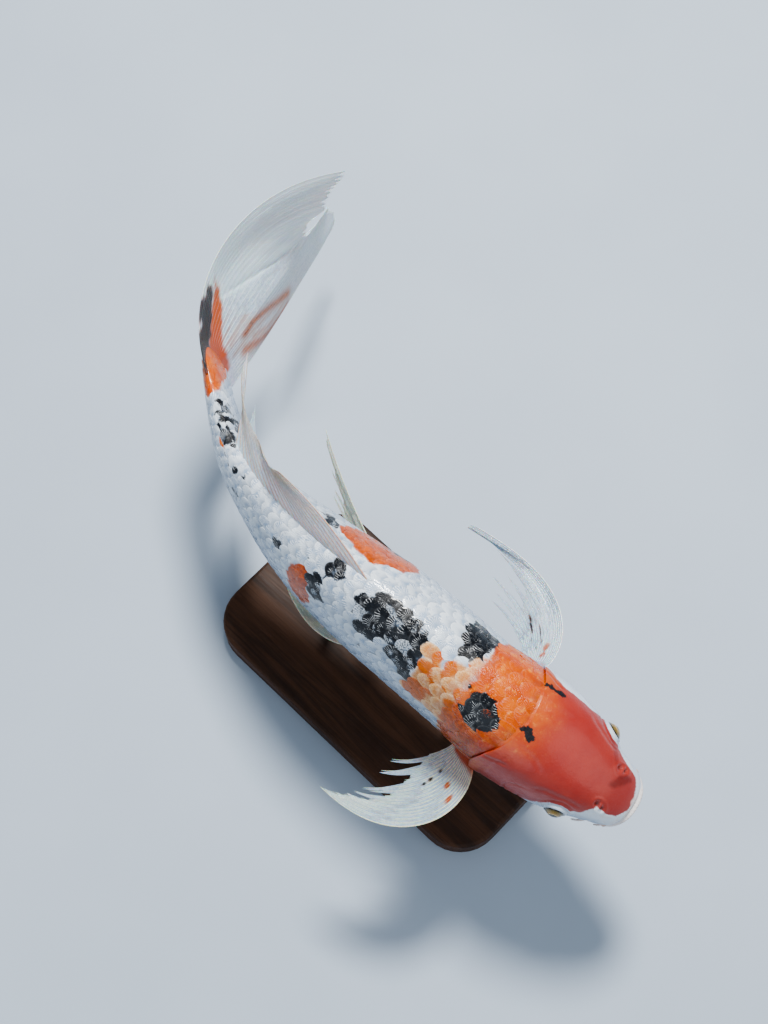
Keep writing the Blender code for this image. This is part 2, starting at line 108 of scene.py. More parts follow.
FINS = {
    "pectoral_fin_left": dict(
        side=1, root_s=(0.101, 0.114), root_angle=(102, 114), early=2.15,
        rays=((0.0, 112, -6, -117, 4, 0.1354), (0.2, 106, -7, -110, 3, 0.1310), (0.45, 90, -8, -76, 2, 0.0935),
              (0.7, 82, -10, -68, 0, 0.0772), (1.0, 77, -12, -69, -2, 0.0535)),
    ),
    "pectoral_fin_right": dict(
        side=-1, root_s=(0.101, 0.114), root_angle=(102, 114), early=1.49,
        rays=((0.0, 136, -6, -141, 4, 0.1307), (0.2, 130, -7, -124, 3, 0.1080), (0.45, 118, -8, -99, 2, 0.0898),
              (0.7, 100, -10, -66, 0, 0.0735), (1.0, 79, -12, -47, -2, 0.0458)),
    ),
    "pelvic_fin_left": dict(
        side=1, root_s=(0.200, 0.212), root_angle=(152, 164), early=0.6,
        rays=((0.0, 20, 0, 16, 12, 0.1348), (0.5, 23, -6, 6, 10, 0.1071), (1.0, 27, -12, -4, 8, 0.0880)),
    ),
    "pelvic_fin_right": dict(
        side=-1, root_s=(0.200, 0.212), root_angle=(152, 164), early=1.56,
        rays=((0.0, 59, -4, -90, 8, 0.0856), (0.5, 61, -10, -87, 8, 0.0724), (1.0, 65, -16, -82, 6, 0.0547)),
    ),
    "dorsal_fin": dict(
        side=1, root_s=(0.205, 0.338), root_angle=(0, 0),
        rays=((0.0, 17, 22, -12, -28, 0.0975), (0.33, 13, 20, 4, -26, 0.0764), (0.66, 16, 16, 22, -22, 0.0723),
              (1.0, 41, 13, -13, -18, 0.0708)),
    ),
    "anal_fin": dict(
        side=1, root_s=(0.308, 0.334), root_angle=(180, 180),
        rays=((0.0, 17, -30, 22, 22, 0.1028), (0.5, 8, -26, 36, 18, 0.0732), (1.0, 4, -20, 30, 12, 0.044)),
    ),
    "caudal_fin": dict(
        side=1, root_s=(0.402, 0.412, 0.415, 0.412, 0.397), root_level=(-0.0235, -0.012, 0.0, 0.012, 0.0245), early=1.13,
        rays=((0.0, 35, -24, -3, 8, 0.1858), (0.15, 41, -18, -11, 6, 0.1730), (0.37, 42, -6, -4, 2, 0.1500),
              (0.5, 29, 0, 28, 0, 0.1175), (0.6, 19, 5, 46, -4, 0.1250), (0.75, 4, 12, 79, -8, 0.1464),
              (1.0, -9, 22, 101, -22, 0.1866)),
    ),
}
RISE = np.array([0.0, 0.0, 1.0])


def smooth_curve(x, xk, yk):
    """Piecewise cubic through knots that never overshoots them."""
    xk, yk, x = np.asarray(xk, float), np.asarray(yk, float), np.asarray(x, float)
    h = np.diff(xk)
    d = np.diff(yk) / h
    m = np.zeros(len(xk))
    for i in range(1, len(xk) - 1):
        if d[i - 1] * d[i] > 0:
            w1, w2 = 2 * h[i] + h[i - 1], h[i] + 2 * h[i - 1]
            m[i] = (w1 + w2) / (w1 / d[i - 1] + w2 / d[i])
    m[0], m[-1] = d[0], d[-1]
    i = np.clip(np.searchsorted(xk, x) - 1, 0, len(h) - 1)
    t = (x - xk[i]) / h[i]
    return (
        (1 + 2 * t) * (1 - t) ** 2 * yk[i]
        + t * (1 - t) ** 2 * h[i] * m[i]
        + t * t * (3 - 2 * t) * yk[i + 1]
        + t * t * (t - 1) * h[i] * m[i + 1]
    )


ALONG = np.linspace(-0.02, 0.46, 961)
TURN = np.radians(smooth_curve(np.clip(ALONG, 0, HEADINGS[-1][0]), *zip(*HEADINGS)))


def run_along(v):
    total = np.concatenate([[0], np.cumsum((v[1:] + v[:-1]) / 2 * (ALONG[1] - ALONG[0]))])
    return total - np.interp(0, ALONG, total)


SPINE_X = SNOUT[0] + run_along(np.sin(TURN))
SPINE_Y = SNOUT[1] + run_along(np.cos(TURN))


def spine(s):
    """Point, backward direction and leftward direction of the midline."""
    x, y, a = (np.interp(s, ALONG, v) for v in (SPINE_X, SPINE_Y, TURN))
    zero = np.zeros_like(x)
    return (
        np.stack([x, y, zero + SPINE_LEVEL], -1),
        np.stack([np.sin(a), np.cos(a), zero], -1),
        np.stack([np.cos(a), -np.sin(a), zero], -1),
    )


# The section's values are read from a fine table, because they are asked for very many points.
Q_TABLE = np.linspace(0, math.sqrt(BODY_END), 1500)
SECTION_TABLE = [
    smooth_curve(Q_TABLE, np.sqrt([row[0] for row in STATIONS]), [row[k] for row in STATIONS])
    for k in range(1, 6)
]


def section(s):
    q = np.sqrt(np.clip(s, 0, BODY_END))
    return [np.interp(q, Q_TABLE, column) for column in SECTION_TABLE]


def widest(s):
    _, top, bottom, _, _ = section(s)
    return bottom + (top - bottom) * WIDEST


ROLL_TABLE = np.radians(smooth_curve(np.linspace(0, 0.430, 431), *zip(*ROLL)))


def roll(s):
    return np.interp(s, np.linspace(0, 0.430, 431), ROLL_TABLE)


def skin(s, angle):
    """A point of the skin. The angle is 0 on the back, pi/2 on the left flank and pi on the belly."""
    s, angle = np.broadcast_arrays(np.asarray(s, float), np.asarray(angle, float))
    half, top, bottom, above, below = section(s)
    level = bottom + (top - bottom) * WIDEST
    c, q = np.cos(angle), np.sin(angle)
    e = np.where(c > 0, above, below)
    out = half * np.sign(q) * np.abs(q) ** e
    up = level + np.where(c > 0, top - level, bottom - level) * np.abs(c) ** e
    p, _, left = spine(s)
    r = roll(s)
    across, over = out * np.cos(r) + up * np.sin(r), up * np.cos(r) - out * np.sin(r)
    return p + left * across[..., None] + RISE * over[..., None]


def skin_normal(s, angle):
    s, angle = np.broadcast_arrays(np.asarray(s, float), np.asarray(angle, float))
    ds, da = 0.0005, 0.02
    along = skin(s + ds, angle) - skin(np.maximum(s - ds, 0), angle)
    about = skin(s, angle + da) - skin(s, angle - da)
    n = np.cross(along, about)
    n /= np.maximum(np.linalg.norm(n, axis=-1, keepdims=True), 1e-12)
    c, _, _ = spine(s)
    inward = ((skin(s, angle) - c - RISE * widest(s)[..., None]) * n).sum(-1) < 0
    n[inward] *= -1
    return n


def gill_edge(angle):
    folded = np.degrees(np.arccos(np.clip(np.cos(angle), -1, 1)))
    return np.interp(folded, np.linspace(0, 180, 361), smooth_curve(np.linspace(0, 180, 361), *zip(*GILL_EDGE)))


# ---- unrolled skin: distance along the body, and distance round it from the back ------------
S_STEP = 0.001
S_ROWS = np.arange(0.0005, BODY_END + S_STEP, S_STEP)
A_ROWS = np.linspace(0, np.pi, 241)
_rows = skin(S_ROWS[:, None], A_ROWS[None, :])
ARC = np.concatenate(
    [np.zeros((len(S_ROWS), 1)), np.cumsum(np.linalg.norm(np.diff(_rows, axis=1), axis=-1), axis=1)], axis=1
)
HALF_GIRTH = ARC[:, -1]
ROUND = np.linspace(0, 1, 241)
ANGLE_BACK = np.array([np.interp(ROUND, row / row[-1], A_ROWS) for row in ARC])


def lookup(table, s, share):
    """A table's value at distance s along the body and a share from 0 to 1 across it."""
    i = np.clip((np.asarray(s) - S_ROWS[0]) / S_STEP, 0, len(S_ROWS) - 1.001)
    j = np.clip(np.asarray(share) * (table.shape[1] - 1), 0, table.shape[1] - 1.001)
    i0, j0 = i.astype(int), j.astype(int)
    fi, fj = i - i0, j - j0
    return (
        table[i0, j0] * (1 - fi) * (1 - fj)
        + table[i0 + 1, j0] * fi * (1 - fj)
        + table[i0, j0 + 1] * (1 - fi) * fj
        + table[i0 + 1, j0 + 1] * fi * fj
    )


def half_girth(s):
    return np.interp(s, S_ROWS, HALF_GIRTH)


def arc_of(s, angle):
    """Signed distance round the body from the back, the left side positive."""
    turned = (np.asarray(angle) + np.pi) % (2 * np.pi) - np.pi
    return np.sign(turned) * lookup(ARC, s, np.abs(turned) / np.pi)


def angle_at(s, arc):
    girth = half_girth(s)
    arc = np.asarray(arc, float)
    folded = np.abs(arc)
    past = folded > girth
    inner = np.where(past, 2 * girth - folded, folded)
    a = lookup(ANGLE_BACK, s, np.clip(inner / girth, 0, 1))
    return np.where(past, 2 * np.pi - a, a) * np.where(arc < 0, -1, 1)


# ---- small tools ------------------------------------------------------------------------
def ease(x, low=0.0, high=1.0):
    t = np.clip((np.asarray(x, float) - low) / (high - low), 0, 1)
    return t * t * (3 - 2 * t)


def bell(x, width):
    return np.exp(-((np.asarray(x) / width) ** 2))


def hashed(i, j, k, seed):
    h = (i * 374761393 + j * 668265263 + k * 2147483647 + seed * 144665) & 0xFFFFFFFF
    h = ((h ^ (h >> 13)) * 1274126177) & 0xFFFFFFFF
    return ((h ^ (h >> 16)) & 0xFFFFFF) / 0xFFFFFF


def mottle(p, size, seed=0):
    """Smooth value noise from -1 to 1 with lumps of that size."""
    q = np.asarray(p, float) / size + 137.0
    base = np.floor(q).astype(np.int64)
    f = q - base
    f = f * f * (3 - 2 * f)
    total = 0
    for a in (0, 1):
        for b in (0, 1):
            for c in (0, 1):
                w = (
                    (f[..., 0] if a else 1 - f[..., 0])
                    * (f[..., 1] if b else 1 - f[..., 1])
                    * (f[..., 2] if c else 1 - f[..., 2])
                )
                total = total + w * hashed(base[..., 0] + a, base[..., 1] + b, base[..., 2] + c, seed)
    return total * 2 - 1


def rough_mottle(p, size, seed=0):
    return (mottle(p, size, seed) + 0.5 * mottle(p, size / 2.1, seed + 1) + 0.25 * mottle(p, size / 4.3, seed + 2)) / 1.5


def grid_quads(rows, cols, closed=False, start=0):
    i = np.arange(rows - 1)[:, None]
    j = np.arange(cols if closed else cols - 1)[None, :]
    k = (j + 1) % cols
    a, b, c, d = i * cols + j, i * cols + k, (i + 1) * cols + k, (i + 1) * cols + j
    return np.stack([a, b, c, d], -1).reshape(-1, 4) + start


def rim_order(rows, cols):
    return np.array(
        [(i * cols) for i in range(rows)]
        + [((rows - 1) * cols + j) for j in range(1, cols)]
        + [(i * cols + cols - 1) for i in range(rows - 2, -1, -1)]
        + [j for j in range(cols - 2, 0, -1)]
    )


def make_piece(name, points, quads=None, tris=None, material=None, attributes=None, uv=None, sharp=None):
    mesh = bpy.data.meshes.new(name)
    quads = np.zeros((0, 4), int) if quads is None else np.asarray(quads)
    tris = np.zeros((0, 3), int) if tris is None else np.asarray(tris)
    points = np.ascontiguousarray(points, np.float32).reshape(-1, 3)
    mesh.vertices.add(len(points))
    mesh.vertices.foreach_set("co", points.ravel())
    loops = np.concatenate([quads.ravel(), tris.ravel()]).astype(np.int32)
    mesh.loops.add(len(loops))
    mesh.loops.foreach_set("vertex_index", loops)
    starts = np.concatenate([np.arange(len(quads)) * 4, len(quads) * 4 + np.arange(len(tris)) * 3]).astype(np.int32)
    mesh.polygons.add(len(starts))
    mesh.polygons.foreach_set("loop_start", starts)
    mesh.update(calc_edges=True)
    for key, values in (attributes or {}).items():
        layer = mesh.attributes.new(key, "FLOAT", "POINT")
        layer.data.foreach_set("value", np.ascontiguousarray(values, np.float32).ravel())
    if uv is not None:
        layer = mesh.uv_layers.new(name="OFBake")
        flat = np.ascontiguousarray(np.asarray(uv, np.float32).reshape(-1, 2)[loops])
        layer.uv.foreach_set("vector", flat.ravel())
    mesh.validate()
    mesh.shade_smooth()
    if sharp:
        mesh.set_sharp_from_angle(angle=math.radians(sharp))
    made = bpy.data.objects.new(name, mesh)
    bpy.context.scene.collection.objects.link(made)
    if material:
        mesh.materials.append(material)
    return made


def outward(points, quads, centre_side):
    """Turns the faces round if most look inwards. centre_side holds an outward direction for each quad."""
    a, b, c = points[quads[:, 0]], points[quads[:, 1]], points[quads[:, 2]]
    n = np.cross(b - a, c - a)
    return quads if (n * centre_side).sum() > 0 else quads[:, ::-1]


# ---- markings ---------------------------------------------------------------------------
# Each outline is named and given in millimetres behind the snout and degrees from the back, the left side positive.
HI = {
    "cap": ((3, 6), (6, 30), (10, 48), (14, 50), (19, 50), (24, 56), (28, 62), (33, 66), (37, 68), (44, 78), (51, 71),
            (57, 59), (64, 56), (72, 53), (77, 52), (88, 59), (100, 68), (114, 74), (124, 66), (127, 43), (122, 22),
            (129, 18), (128, 2), (137, -2), (138, -16), (148, -4), (155, -6), (158, -16), (152, -20), (153, -36),
            (155, -54), (160, -56), (153, -66), (138, -62), (126, -70), (125, -96), (118, -110), (106, -118),
            (93, -112), (77, -106), (60, -96), (50, -80), (44, -63), (37, -60), (32, -66), (27, -60), (23, -45),
            (20, -36), (16, -40), (12, -42), (8, -40), (4, -22)),
    "left_flank": ((254, 44), (247, 54), (238, 74), (222, 77), (211, 79), (199, 78), (193, 52), (198, 38), (207, 34),
                   (214, 21), (223, 24), (235, 26), (244, 30)),
    "right_flank": ((257, -38), (250, -30), (244, -34), (241, -52), (236, -67), (242, -80), (252, -78), (257, -60),
                    (260, -51)),
    "tail_root": ((381, -12), (384, -40), (404, -70), (424, -100), (424, 150), (411, 118), (393, 61), (384, 26), (381, 0)),
    "fleck_one": ((354, -16), (351, -10), (346, -14), (345, -24), (349, -28), (353, -24)),
    "right_pectoral_root": ((122, -92), (122, -116), (114, -128), (102, -126), (98, -110), (104, -98)),
    "left_pectoral_root": ((118, 100), (118, 118), (110, 126), (101, 120), (104, 106)),
}
SUMI = {
    "saddle": ((210, -36), (208, -15), (202, -2), (194, 6), (187, 8), (178, 4), (170, 5), (160, 2), (155, -6),
               (157, -14), (155, -24), (153, -36), (154, -50), (159, -58), (165, -49), (173, -42), (182, -36),
               (187, -42), (195, -42), (200, -46), (202, -34)),
    "left_shoulder": ((146, 38), (148, 52), (142, 57), (135, 54), (127, 52), (125, 34), (126, 18), (127, 7), (132, 3),
                      (140, 8), (145, 20)),
    "right_shoulder": ((118, -18), (116, -9), (110, -5), (103, -5), (95, -11), (92, -20), (97, -33), (105, -38),
                       (112, -38), (118, -33)),
    "nape": ((83, -7), (80, -3), (76, -5), (72, -8), (74, -12), (78, -12)),
    "left_nape": ((88, 37), (84, 41), (78, 42), (74, 39), (78, 35), (84, 34)),
    "mid_back": ((236, -16), (236, -4), (233, 2), (225, 2), (222, -6), (225, -14), (231, -16), (235, -26)),
    "right_side": ((244, -34), (239, -24), (234, -27), (232, -40), (228, -49), (234, -54), (239, -51), (243, -44)),
    "left_back": ((269, 40), (265, 46), (260, 50), (251, 45), (250, 33), (258, 34)),
    "left_streak": ((222, 68), (215, 75), (206, 78), (205, 68), (212, 62), (218, 62)),
}
# Burnt orange behind the right gill cover and along the shoulder's lower edge, and the dark red mark on the nose.
# Behind the gill cover the burnt orange is partly the fish's own colour and partly painted shade, and the two flank
# outlines are painted shade that darkens the orange patches there.
UMBER_AND_SHADE = {
    "behind_gill": ((127, -36), (121, -30), (116, -33), (110, -38), (103, -44), (99, -50), (102, -80), (110, -96),
                    (122, -90), (126, -66), (126, -48)),
    "shoulder_edge": ((158, -50), (150, -42), (143, -42), (138, -50), (142, -62), (153, -66)),
    "inner_shoulder": ((152, -22), (146, -22), (138, -28), (139, -36), (148, -34), (153, -30)),
    "left_flank": ((256, 42), (247, 56), (238, 76), (222, 80), (211, 82), (197, 80), (191, 52), (196, 36), (207, 32),
                   (214, 19), (223, 22), (235, 24), (244, 28)),
    "right_flank": ((259, -36), (250, -28), (242, -32), (239, -52), (234, -67), (240, -82), (254, -80), (259, -60),
                    (262, -50)),
    "nose": ((22, 0), (21, 7), (19, 19), (15, 32), (12, 36), (10.5, 28), (13, 14), (18, 0)),
    "left_nose": ((37, 60), (30, 56), (23, 32), (25, 26), (31, 44), (38, 54)),
}
# Small black spots: millimetres behind the snout, degrees from the back, length along and width across in millimetres.
SPOTS = (
    (273, -36, 4.0, 2.4), (318, -50, 4.4, 1.6), (376, 16, 1.6, 2.5), (373, 25, 2.6, 2.5), (372, 40, 1.9, 2.1),
    (370, 31, 2.4, 3.8), (374, 50, 1.4, 3.4), (367, 17, 2.0, 2.0), (368, 2, 1.4, 2.1), (362, 10, 3.5, 3.4),
    (362, 24, 2.2, 2.9), (367, 54, 1.8, 3.4), (361, 37, 2.4, 4.4), (362, 58, 1.8, 2.6), (358, -8, 2.7, 2.0),
    (356, 15, 1.8, 2.3), (349, 12, 3.5, 4.4), (347, 2, 3.2, 3.4), (341, 6, 2.0, 2.3), (340, -22, 2.3, 1.7),
    (342, -40, 2.0, 2.0), (334, -26, 1.2, 1.9), (326, -18, 1.6, 1.5), (327, -7, 2.0, 0.9), (319, -15, 2.8, 0.9),
    (313, -14, 1.9, 0.8), (319, -5, 2.0, 0.7), (380, 62, 1.0, 1.2), (380, 88, 1.2, 1.2), (130, -4, 0.9, 1.6),
    (119, -9, 1.9, 0.8), (283, 42, 5.5, 1.6), (273, 52, 3.0, 1.4), (316, -30, 2.2, 1.2), (268, -30, 2.0, 1.4),
    (250, -20, 2.0, 1.8), (216, -50, 2.0, 2.2), (297, 48, 3.5, 1.2), (193, -60, 2.0, 1.6), (176, -40, 3.4, 2.0),
)
# Orange spots on the cream ground of the right shoulder, told in the same way.
ORANGE_SPOTS = (
    (146, -8, 4.0, 5.0), (135, -7, 4.2, 5.0), (146, -25, 5.2, 3.6), (140, -33, 3.8, 3.2), (140, -45, 4.2, 3.4),
    (152, -52, 3.8, 3.4), (144, -50, 3.8, 3.4), (131, -29, 2.6, 3.0), (123, -24, 2.6, 3.0), (116, -2, 3.2, 2.6),
    (143, -17, 3.2, 3.2), (124, -38, 3.2, 3.0), (137, -20, 2.2, 2.6), (127, 4, 2.4, 2.2), (121, 12, 2.8, 2.6),
)


def inside(outline, s, arc):
    """Signed distance to a closed outline in the unrolled skin, positive inside it."""
    corner_s = np.array([p[0] for p in outline]) * MM
    corner_a = arc_of(corner_s, np.radians([p[1] for p in outline]))
    shape = s.shape
    s, arc = s.ravel(), arc.ravel()
    best = np.full(s.shape, 1e9)
    within = np.zeros(s.shape, bool)
    near = (
        (s > corner_s.min() - 0.012) & (s < corner_s.max() + 0.012)
        & (arc > corner_a.min() - 0.012) & (arc < corner_a.max() + 0.012)
    )
    x, y = s[near], arc[near]
    b, w = np.full(x.shape, 1e9), np.zeros(x.shape, bool)
    for (x0, y0), (x1, y1) in zip(
        zip(corner_s, corner_a), zip(np.roll(corner_s, -1), np.roll(corner_a, -1))
    ):
        dx, dy = x1 - x0, y1 - y0
        t = np.clip(((x - x0) * dx + (y - y0) * dy) / max(dx * dx + dy * dy, 1e-12), 0, 1)
        b = np.minimum(b, np.hypot(x - x0 - t * dx, y - y0 - t * dy))
        crosses = (y0 > y) != (y1 > y)
        w ^= crosses & (x < x0 + (y - y0) / (dy if abs(dy) > 1e-12 else 1e-12) * dx)
    best[near], within[near] = b, w
    return np.where(within, best, -best).reshape(shape)


def spots(table, s, arc, shake):
    """The share of the small spots of a table at points of the unrolled skin."""
    found = np.zeros(s.shape)
    for at, turn, along, across in table:
        d = np.hypot(
            (s - at * MM) / (along * MM), (arc - arc_of(np.array(at * MM), np.radians(turn))) / (across * MM)
        )
        found = np.maximum(found, ease(1.15 - d + shake, 0.0, 0.45))
    return found


def markings(s, angle, points, loose=1.0):
    """The share of red, its depth towards the head, black, and painted grey-blue shade low on the flanks at points of
    the skin.
    """
    s, angle = np.broadcast_arrays(s, angle)
    arc = arc_of(s, angle)
    degrees = np.degrees((angle + np.pi) % (2 * np.pi) - np.pi)
    wobble = (1.2 * rough_mottle(points, 0.007, 11) + 0.6 * mottle(points, 0.0022, 14)) * MM * loose
    hi = np.zeros(s.shape)
    for name, outline in HI.items():
        soft = 1.3 if name == "cap" else 2.2 if "root" in name else 1.1
        calm = np.where(s < 0.07, 0.45, 1.0) if name == "cap" else 1.0
        hi = np.maximum(hi, ease((inside(outline, s, arc) + wobble * calm) / (soft * MM), -0.6, 0.9))
    # On the right shoulder the red breaks up into orange scales on cream.
    broken = ease(s, 0.117, 0.127) * (1 - ease(s, 0.162, 0.170)) * (1 - ease(degrees, 24, 36))
    cream = np.minimum(hi, broken)
    hi = hi * (1 - 0.66 * broken)
    hi = np.maximum(hi, 0.85 * spots(ORANGE_SPOTS, s, arc, wobble * 160) * ease(broken + 0.4, 0, 1))
    # Burnt orange from these outlines: real marks, partly painted shade behind the gill cover, and painted shade on the
    # flanks.
    umber_and_shade = np.zeros(s.shape)
    for name, outline in UMBER_AND_SHADE.items():
        share = ease((inside(outline, s, arc) + wobble * 0.8) / (1.4 * MM), -0.7, 1.0)
        if "flank" not in name:
            hi = np.where(s > 0.09, np.maximum(hi, share), hi)
        umber_and_shade = np.maximum(umber_and_shade, share * {"left_nose": 0.55, "inner_shoulder": 0.62, "left_flank": 0.75}.get(name, 1.0))
    lower_cheek = ease(-degrees, 84, 112) * ease(s, 0.030, 0.060) * (1 - ease(s, 0.098, 0.108))
    hi = hi * (1 - 0.60 * lower_cheek)
    # A thin white line runs from the nape forwards along the left cheek, just inside the cap's edge.
    line, _ = near_line(s, arc, ((83, 60), (75, 60), (68, 64), (61, 72), (54, 79)))
    hi = hi * (1 - 0.85 * bell(line / MM, 0.8))
    sumi = np.zeros(s.shape)
    for name, outline in SUMI.items():
        shaken = wobble * (0.9 if "shoulder" in name else 2.0 if "nape" in name else 1.7)
        sumi = np.maximum(sumi, ease((inside(outline, s, arc) + shaken) / (0.9 * MM), -0.5, 0.6))
    sumi = np.maximum(sumi, spots(SPOTS, s, arc, wobble * 180))
    freckles = ease(rough_mottle(points, 0.0036, 51), -0.10, 0.16) * ease(1.3 - np.hypot((s - 0.359) / 0.015, (degrees - 24) / 40), 0, 0.5)
    sumi = np.maximum(sumi, 0.9 * freckles)
    # Pale places inside the black: behind 150 mm, as on the saddle, they stand partly for paler scales and partly for
    # painted glints, and the right shoulder's patch has a lighter heart.
    sumi = sumi * (1 - 0.45 * ease(rough_mottle(points, 0.0048, 41), 0.24, 0.46) * ease(s, 0.15, 0.16))
    heart = np.hypot((s - 0.1025) / 0.0030, (degrees + 17) / 4.5)
    sumi = sumi * (1 - 0.34 * ease(1.2 - heart + 0.5 * mottle(points, 0.002, 17), 0, 0.8))
    salmon_to = np.interp(degrees, (-180, -90, -55, -20, 10, 40, 90, 180), (0.100, 0.104, 0.098, 0.076, 0.071, 0.084, 0.092, 0.092))
    deep = 1 - ease(s - salmon_to + 0.008 * mottle(points, 0.02, 5), -0.018, 0.018)
    # Painted shade: the pale ground is made grey-blue low on both flanks, less so under the belly.
    shade = ease(np.abs(degrees + 7), 44, 92) * (1 - 0.65 * ease(np.abs(degrees), 125, 160))
    return dict(hi=hi, deep=deep, sumi=sumi, umber_and_shade=umber_and_shade, shade=shade, cream=cream)


# ---- materials --------------------------------------------------------------------------
def linear(rgb):
    """Linear values of an sRGB colour given from 0 to 255."""
    c = np.array(rgb, float) / 255
    return tuple(np.where(c <= 0.04045, c / 12.92, ((c + 0.055) / 1.055) ** 2.4)) + (1.0,)


class Finish:
    """Builds one material's nodes."""

    def __init__(self, name, **sockets):
        self.material = bpy.data.materials.new(name)
        self.material.use_nodes = True
        self.tree = self.material.node_tree
        self.shader = self.tree.nodes["Principled BSDF"]
        for key, value in sockets.items():
            self.shader.inputs[key.replace("_", " ")].default_value = value

    def put(self, value, socket):
        if isinstance(value, (int, float)):
            socket.default_value = value
        elif isinstance(value, tuple):
            socket.default_value = value
        else:
            self.tree.links.new(value, socket)

    def attribute(self, name):
        node = self.tree.nodes.new("ShaderNodeAttribute")
        node.attribute_type = "GEOMETRY"
        node.attribute_name = name
        return node.outputs["Fac"]

    def place(self):
        return self.tree.nodes.new("ShaderNodeTexCoord").outputs["Object"]

    def stretched(self, scale, turn=(0, 0, 0)):
        node = self.tree.nodes.new("ShaderNodeMapping")
        self.tree.links.new(self.place(), node.inputs["Vector"])
        node.inputs["Scale"].default_value = scale
        node.inputs["Rotation"].default_value = turn
        return node.outputs["Vector"]

    def noise(self, scale, detail=3.0, roughness=0.5, vector=None, distortion=0.0):
        node = self.tree.nodes.new("ShaderNodeTexNoise")
        self.tree.links.new(vector or self.place(), node.inputs["Vector"])
        node.inputs["Scale"].default_value = scale
        node.inputs["Detail"].default_value = detail
        node.inputs["Roughness"].default_value = roughness
        node.inputs["Distortion"].default_value = distortion
        return node.outputs["Fac"]

    def cells(self, scale, vector=None, feature="F1"):
        node = self.tree.nodes.new("ShaderNodeTexVoronoi")
        node.feature = feature
        self.tree.links.new(vector or self.place(), node.inputs["Vector"])
        node.inputs["Scale"].default_value = scale
        return node.outputs["Distance"]

    def math(self, operation, a, b=0.0, clamp=False):
        node = self.tree.nodes.new("ShaderNodeMath")
        node.operation = operation
        node.use_clamp = clamp
        self.put(a, node.inputs[0])
        self.put(b, node.inputs[1])
        return node.outputs[0]

    def span(self, value, low, high, to_low=0.0, to_high=1.0):
        node = self.tree.nodes.new("ShaderNodeMapRange")
        node.interpolation_type = "SMOOTHSTEP"
        self.put(value, node.inputs["Value"])
        for key, number in (("From Min", low), ("From Max", high), ("To Min", to_low), ("To Max", to_high)):
            node.inputs[key].default_value = number
        return node.outputs["Result"]

    def mix(self, share, a, b, blend="MIX"):
        node = self.tree.nodes.new("ShaderNodeMix")
        node.data_type = "RGBA"
        node.blend_type = blend
        self.put(share, node.inputs["Factor"])
        self.put(a, [s for s in node.inputs if s.name == "A" and s.type == "RGBA"][0])
        self.put(b, [s for s in node.inputs if s.name == "B" and s.type == "RGBA"][0])
        return [s for s in node.outputs if s.type == "RGBA"][0]

    def bump(self, height, strength, distance, after=None):
        node = self.tree.nodes.new("ShaderNodeBump")
        self.put(height, node.inputs["Height"])
        node.inputs["Strength"].default_value = strength
        node.inputs["Distance"].default_value = distance
        if after is not None:
            self.tree.links.new(after, node.inputs["Normal"])
        return node.outputs["Normal"]

    def colour(self, value):
        self.put(value, self.shader.inputs["Base Color"])

    def roughness(self, value):
        self.put(value, self.shader.inputs["Roughness"])

    def normal(self, value):
        self.put(value, self.shader.inputs["Normal"])


PEARL = linear((216, 225, 233))
CREAM = linear((230, 178, 100))
SHADE_BLUE_GREY = linear((150, 172, 202))
OCHRE = linear((188, 104, 4))
ORANGE = linear((188, 74, 0))
BRIGHT = linear((206, 100, 8))
SALMON = linear((154, 48, 40))
BURNT = linear((196, 84, 0))
DARK_BURNT = linear((138, 52, 0))
DARK_RED = linear((116, 20, 6))
BLACK = linear((4, 5, 8))
INK = linear((20, 26, 36))


def body_colour(f, fine):
    """The colour that skin and scales share, from the markings and the painted shade that the mesh carries."""
    hi, deep, sumi = f.attribute("hi"), f.attribute("deep"), f.attribute("sumi")
    umber_and_shade, shade = f.attribute("umber_and_shade"), f.attribute("shade")
    patchy = f.noise(170, 4, 0.6)
    # Painted shade: the pale ground turns grey-blue where the shade share is high, low on the flanks.
    pale = f.mix(f.math("MULTIPLY", shade, 0.66), PEARL, SHADE_BLUE_GREY)
    pale = f.mix(f.span(patchy, 0.45, 0.75, 0.0, 0.18), pale, CREAM)
    pale = f.mix(f.math("MULTIPLY", f.attribute("cream"), 0.85), pale, CREAM)
    red = f.mix(f.span(f.noise(90, 4, 0.6), 0.38, 0.68), ORANGE, BRIGHT)
    red = f.mix(f.span(f.noise(230, 4, 0.7), 0.52, 0.72, 0.0, 0.62), red, linear((236, 156, 66)))
    red = f.mix(deep, red, f.mix(f.span(f.noise(60, 3, 0.5), 0.35, 0.7, 0.0, 0.6), SALMON, linear((166, 60, 48))))
    burnt = f.mix(f.span(f.noise(300, 4, 0.65), 0.36, 0.62), DARK_BURNT, BURNT)
    # Burnt orange where that share is high: the fish's own marks, and painted shade on the flanks and behind the gill
    # cover.
    red = f.mix(f.math("MULTIPLY", umber_and_shade, 0.85), red, f.mix(deep, burnt, DARK_RED))
    red = f.mix(f.math("MULTIPLY", f.attribute("cream"), 0.45), red, OCHRE)
    ragged = f.math("ADD", hi, f.span(fine, 0.3, 0.7, -0.16, 0.16), clamp=True)
    base = f.mix(f.span(ragged, 0.15, 0.85), pale, red)
    dark = f.mix(f.span(fine, 0.35, 0.7), BLACK, INK)
    return f.mix(f.span(f.math("ADD", sumi, f.span(fine, 0.3, 0.7, -0.22, 0.22)), 0.2, 0.75), base, dark)


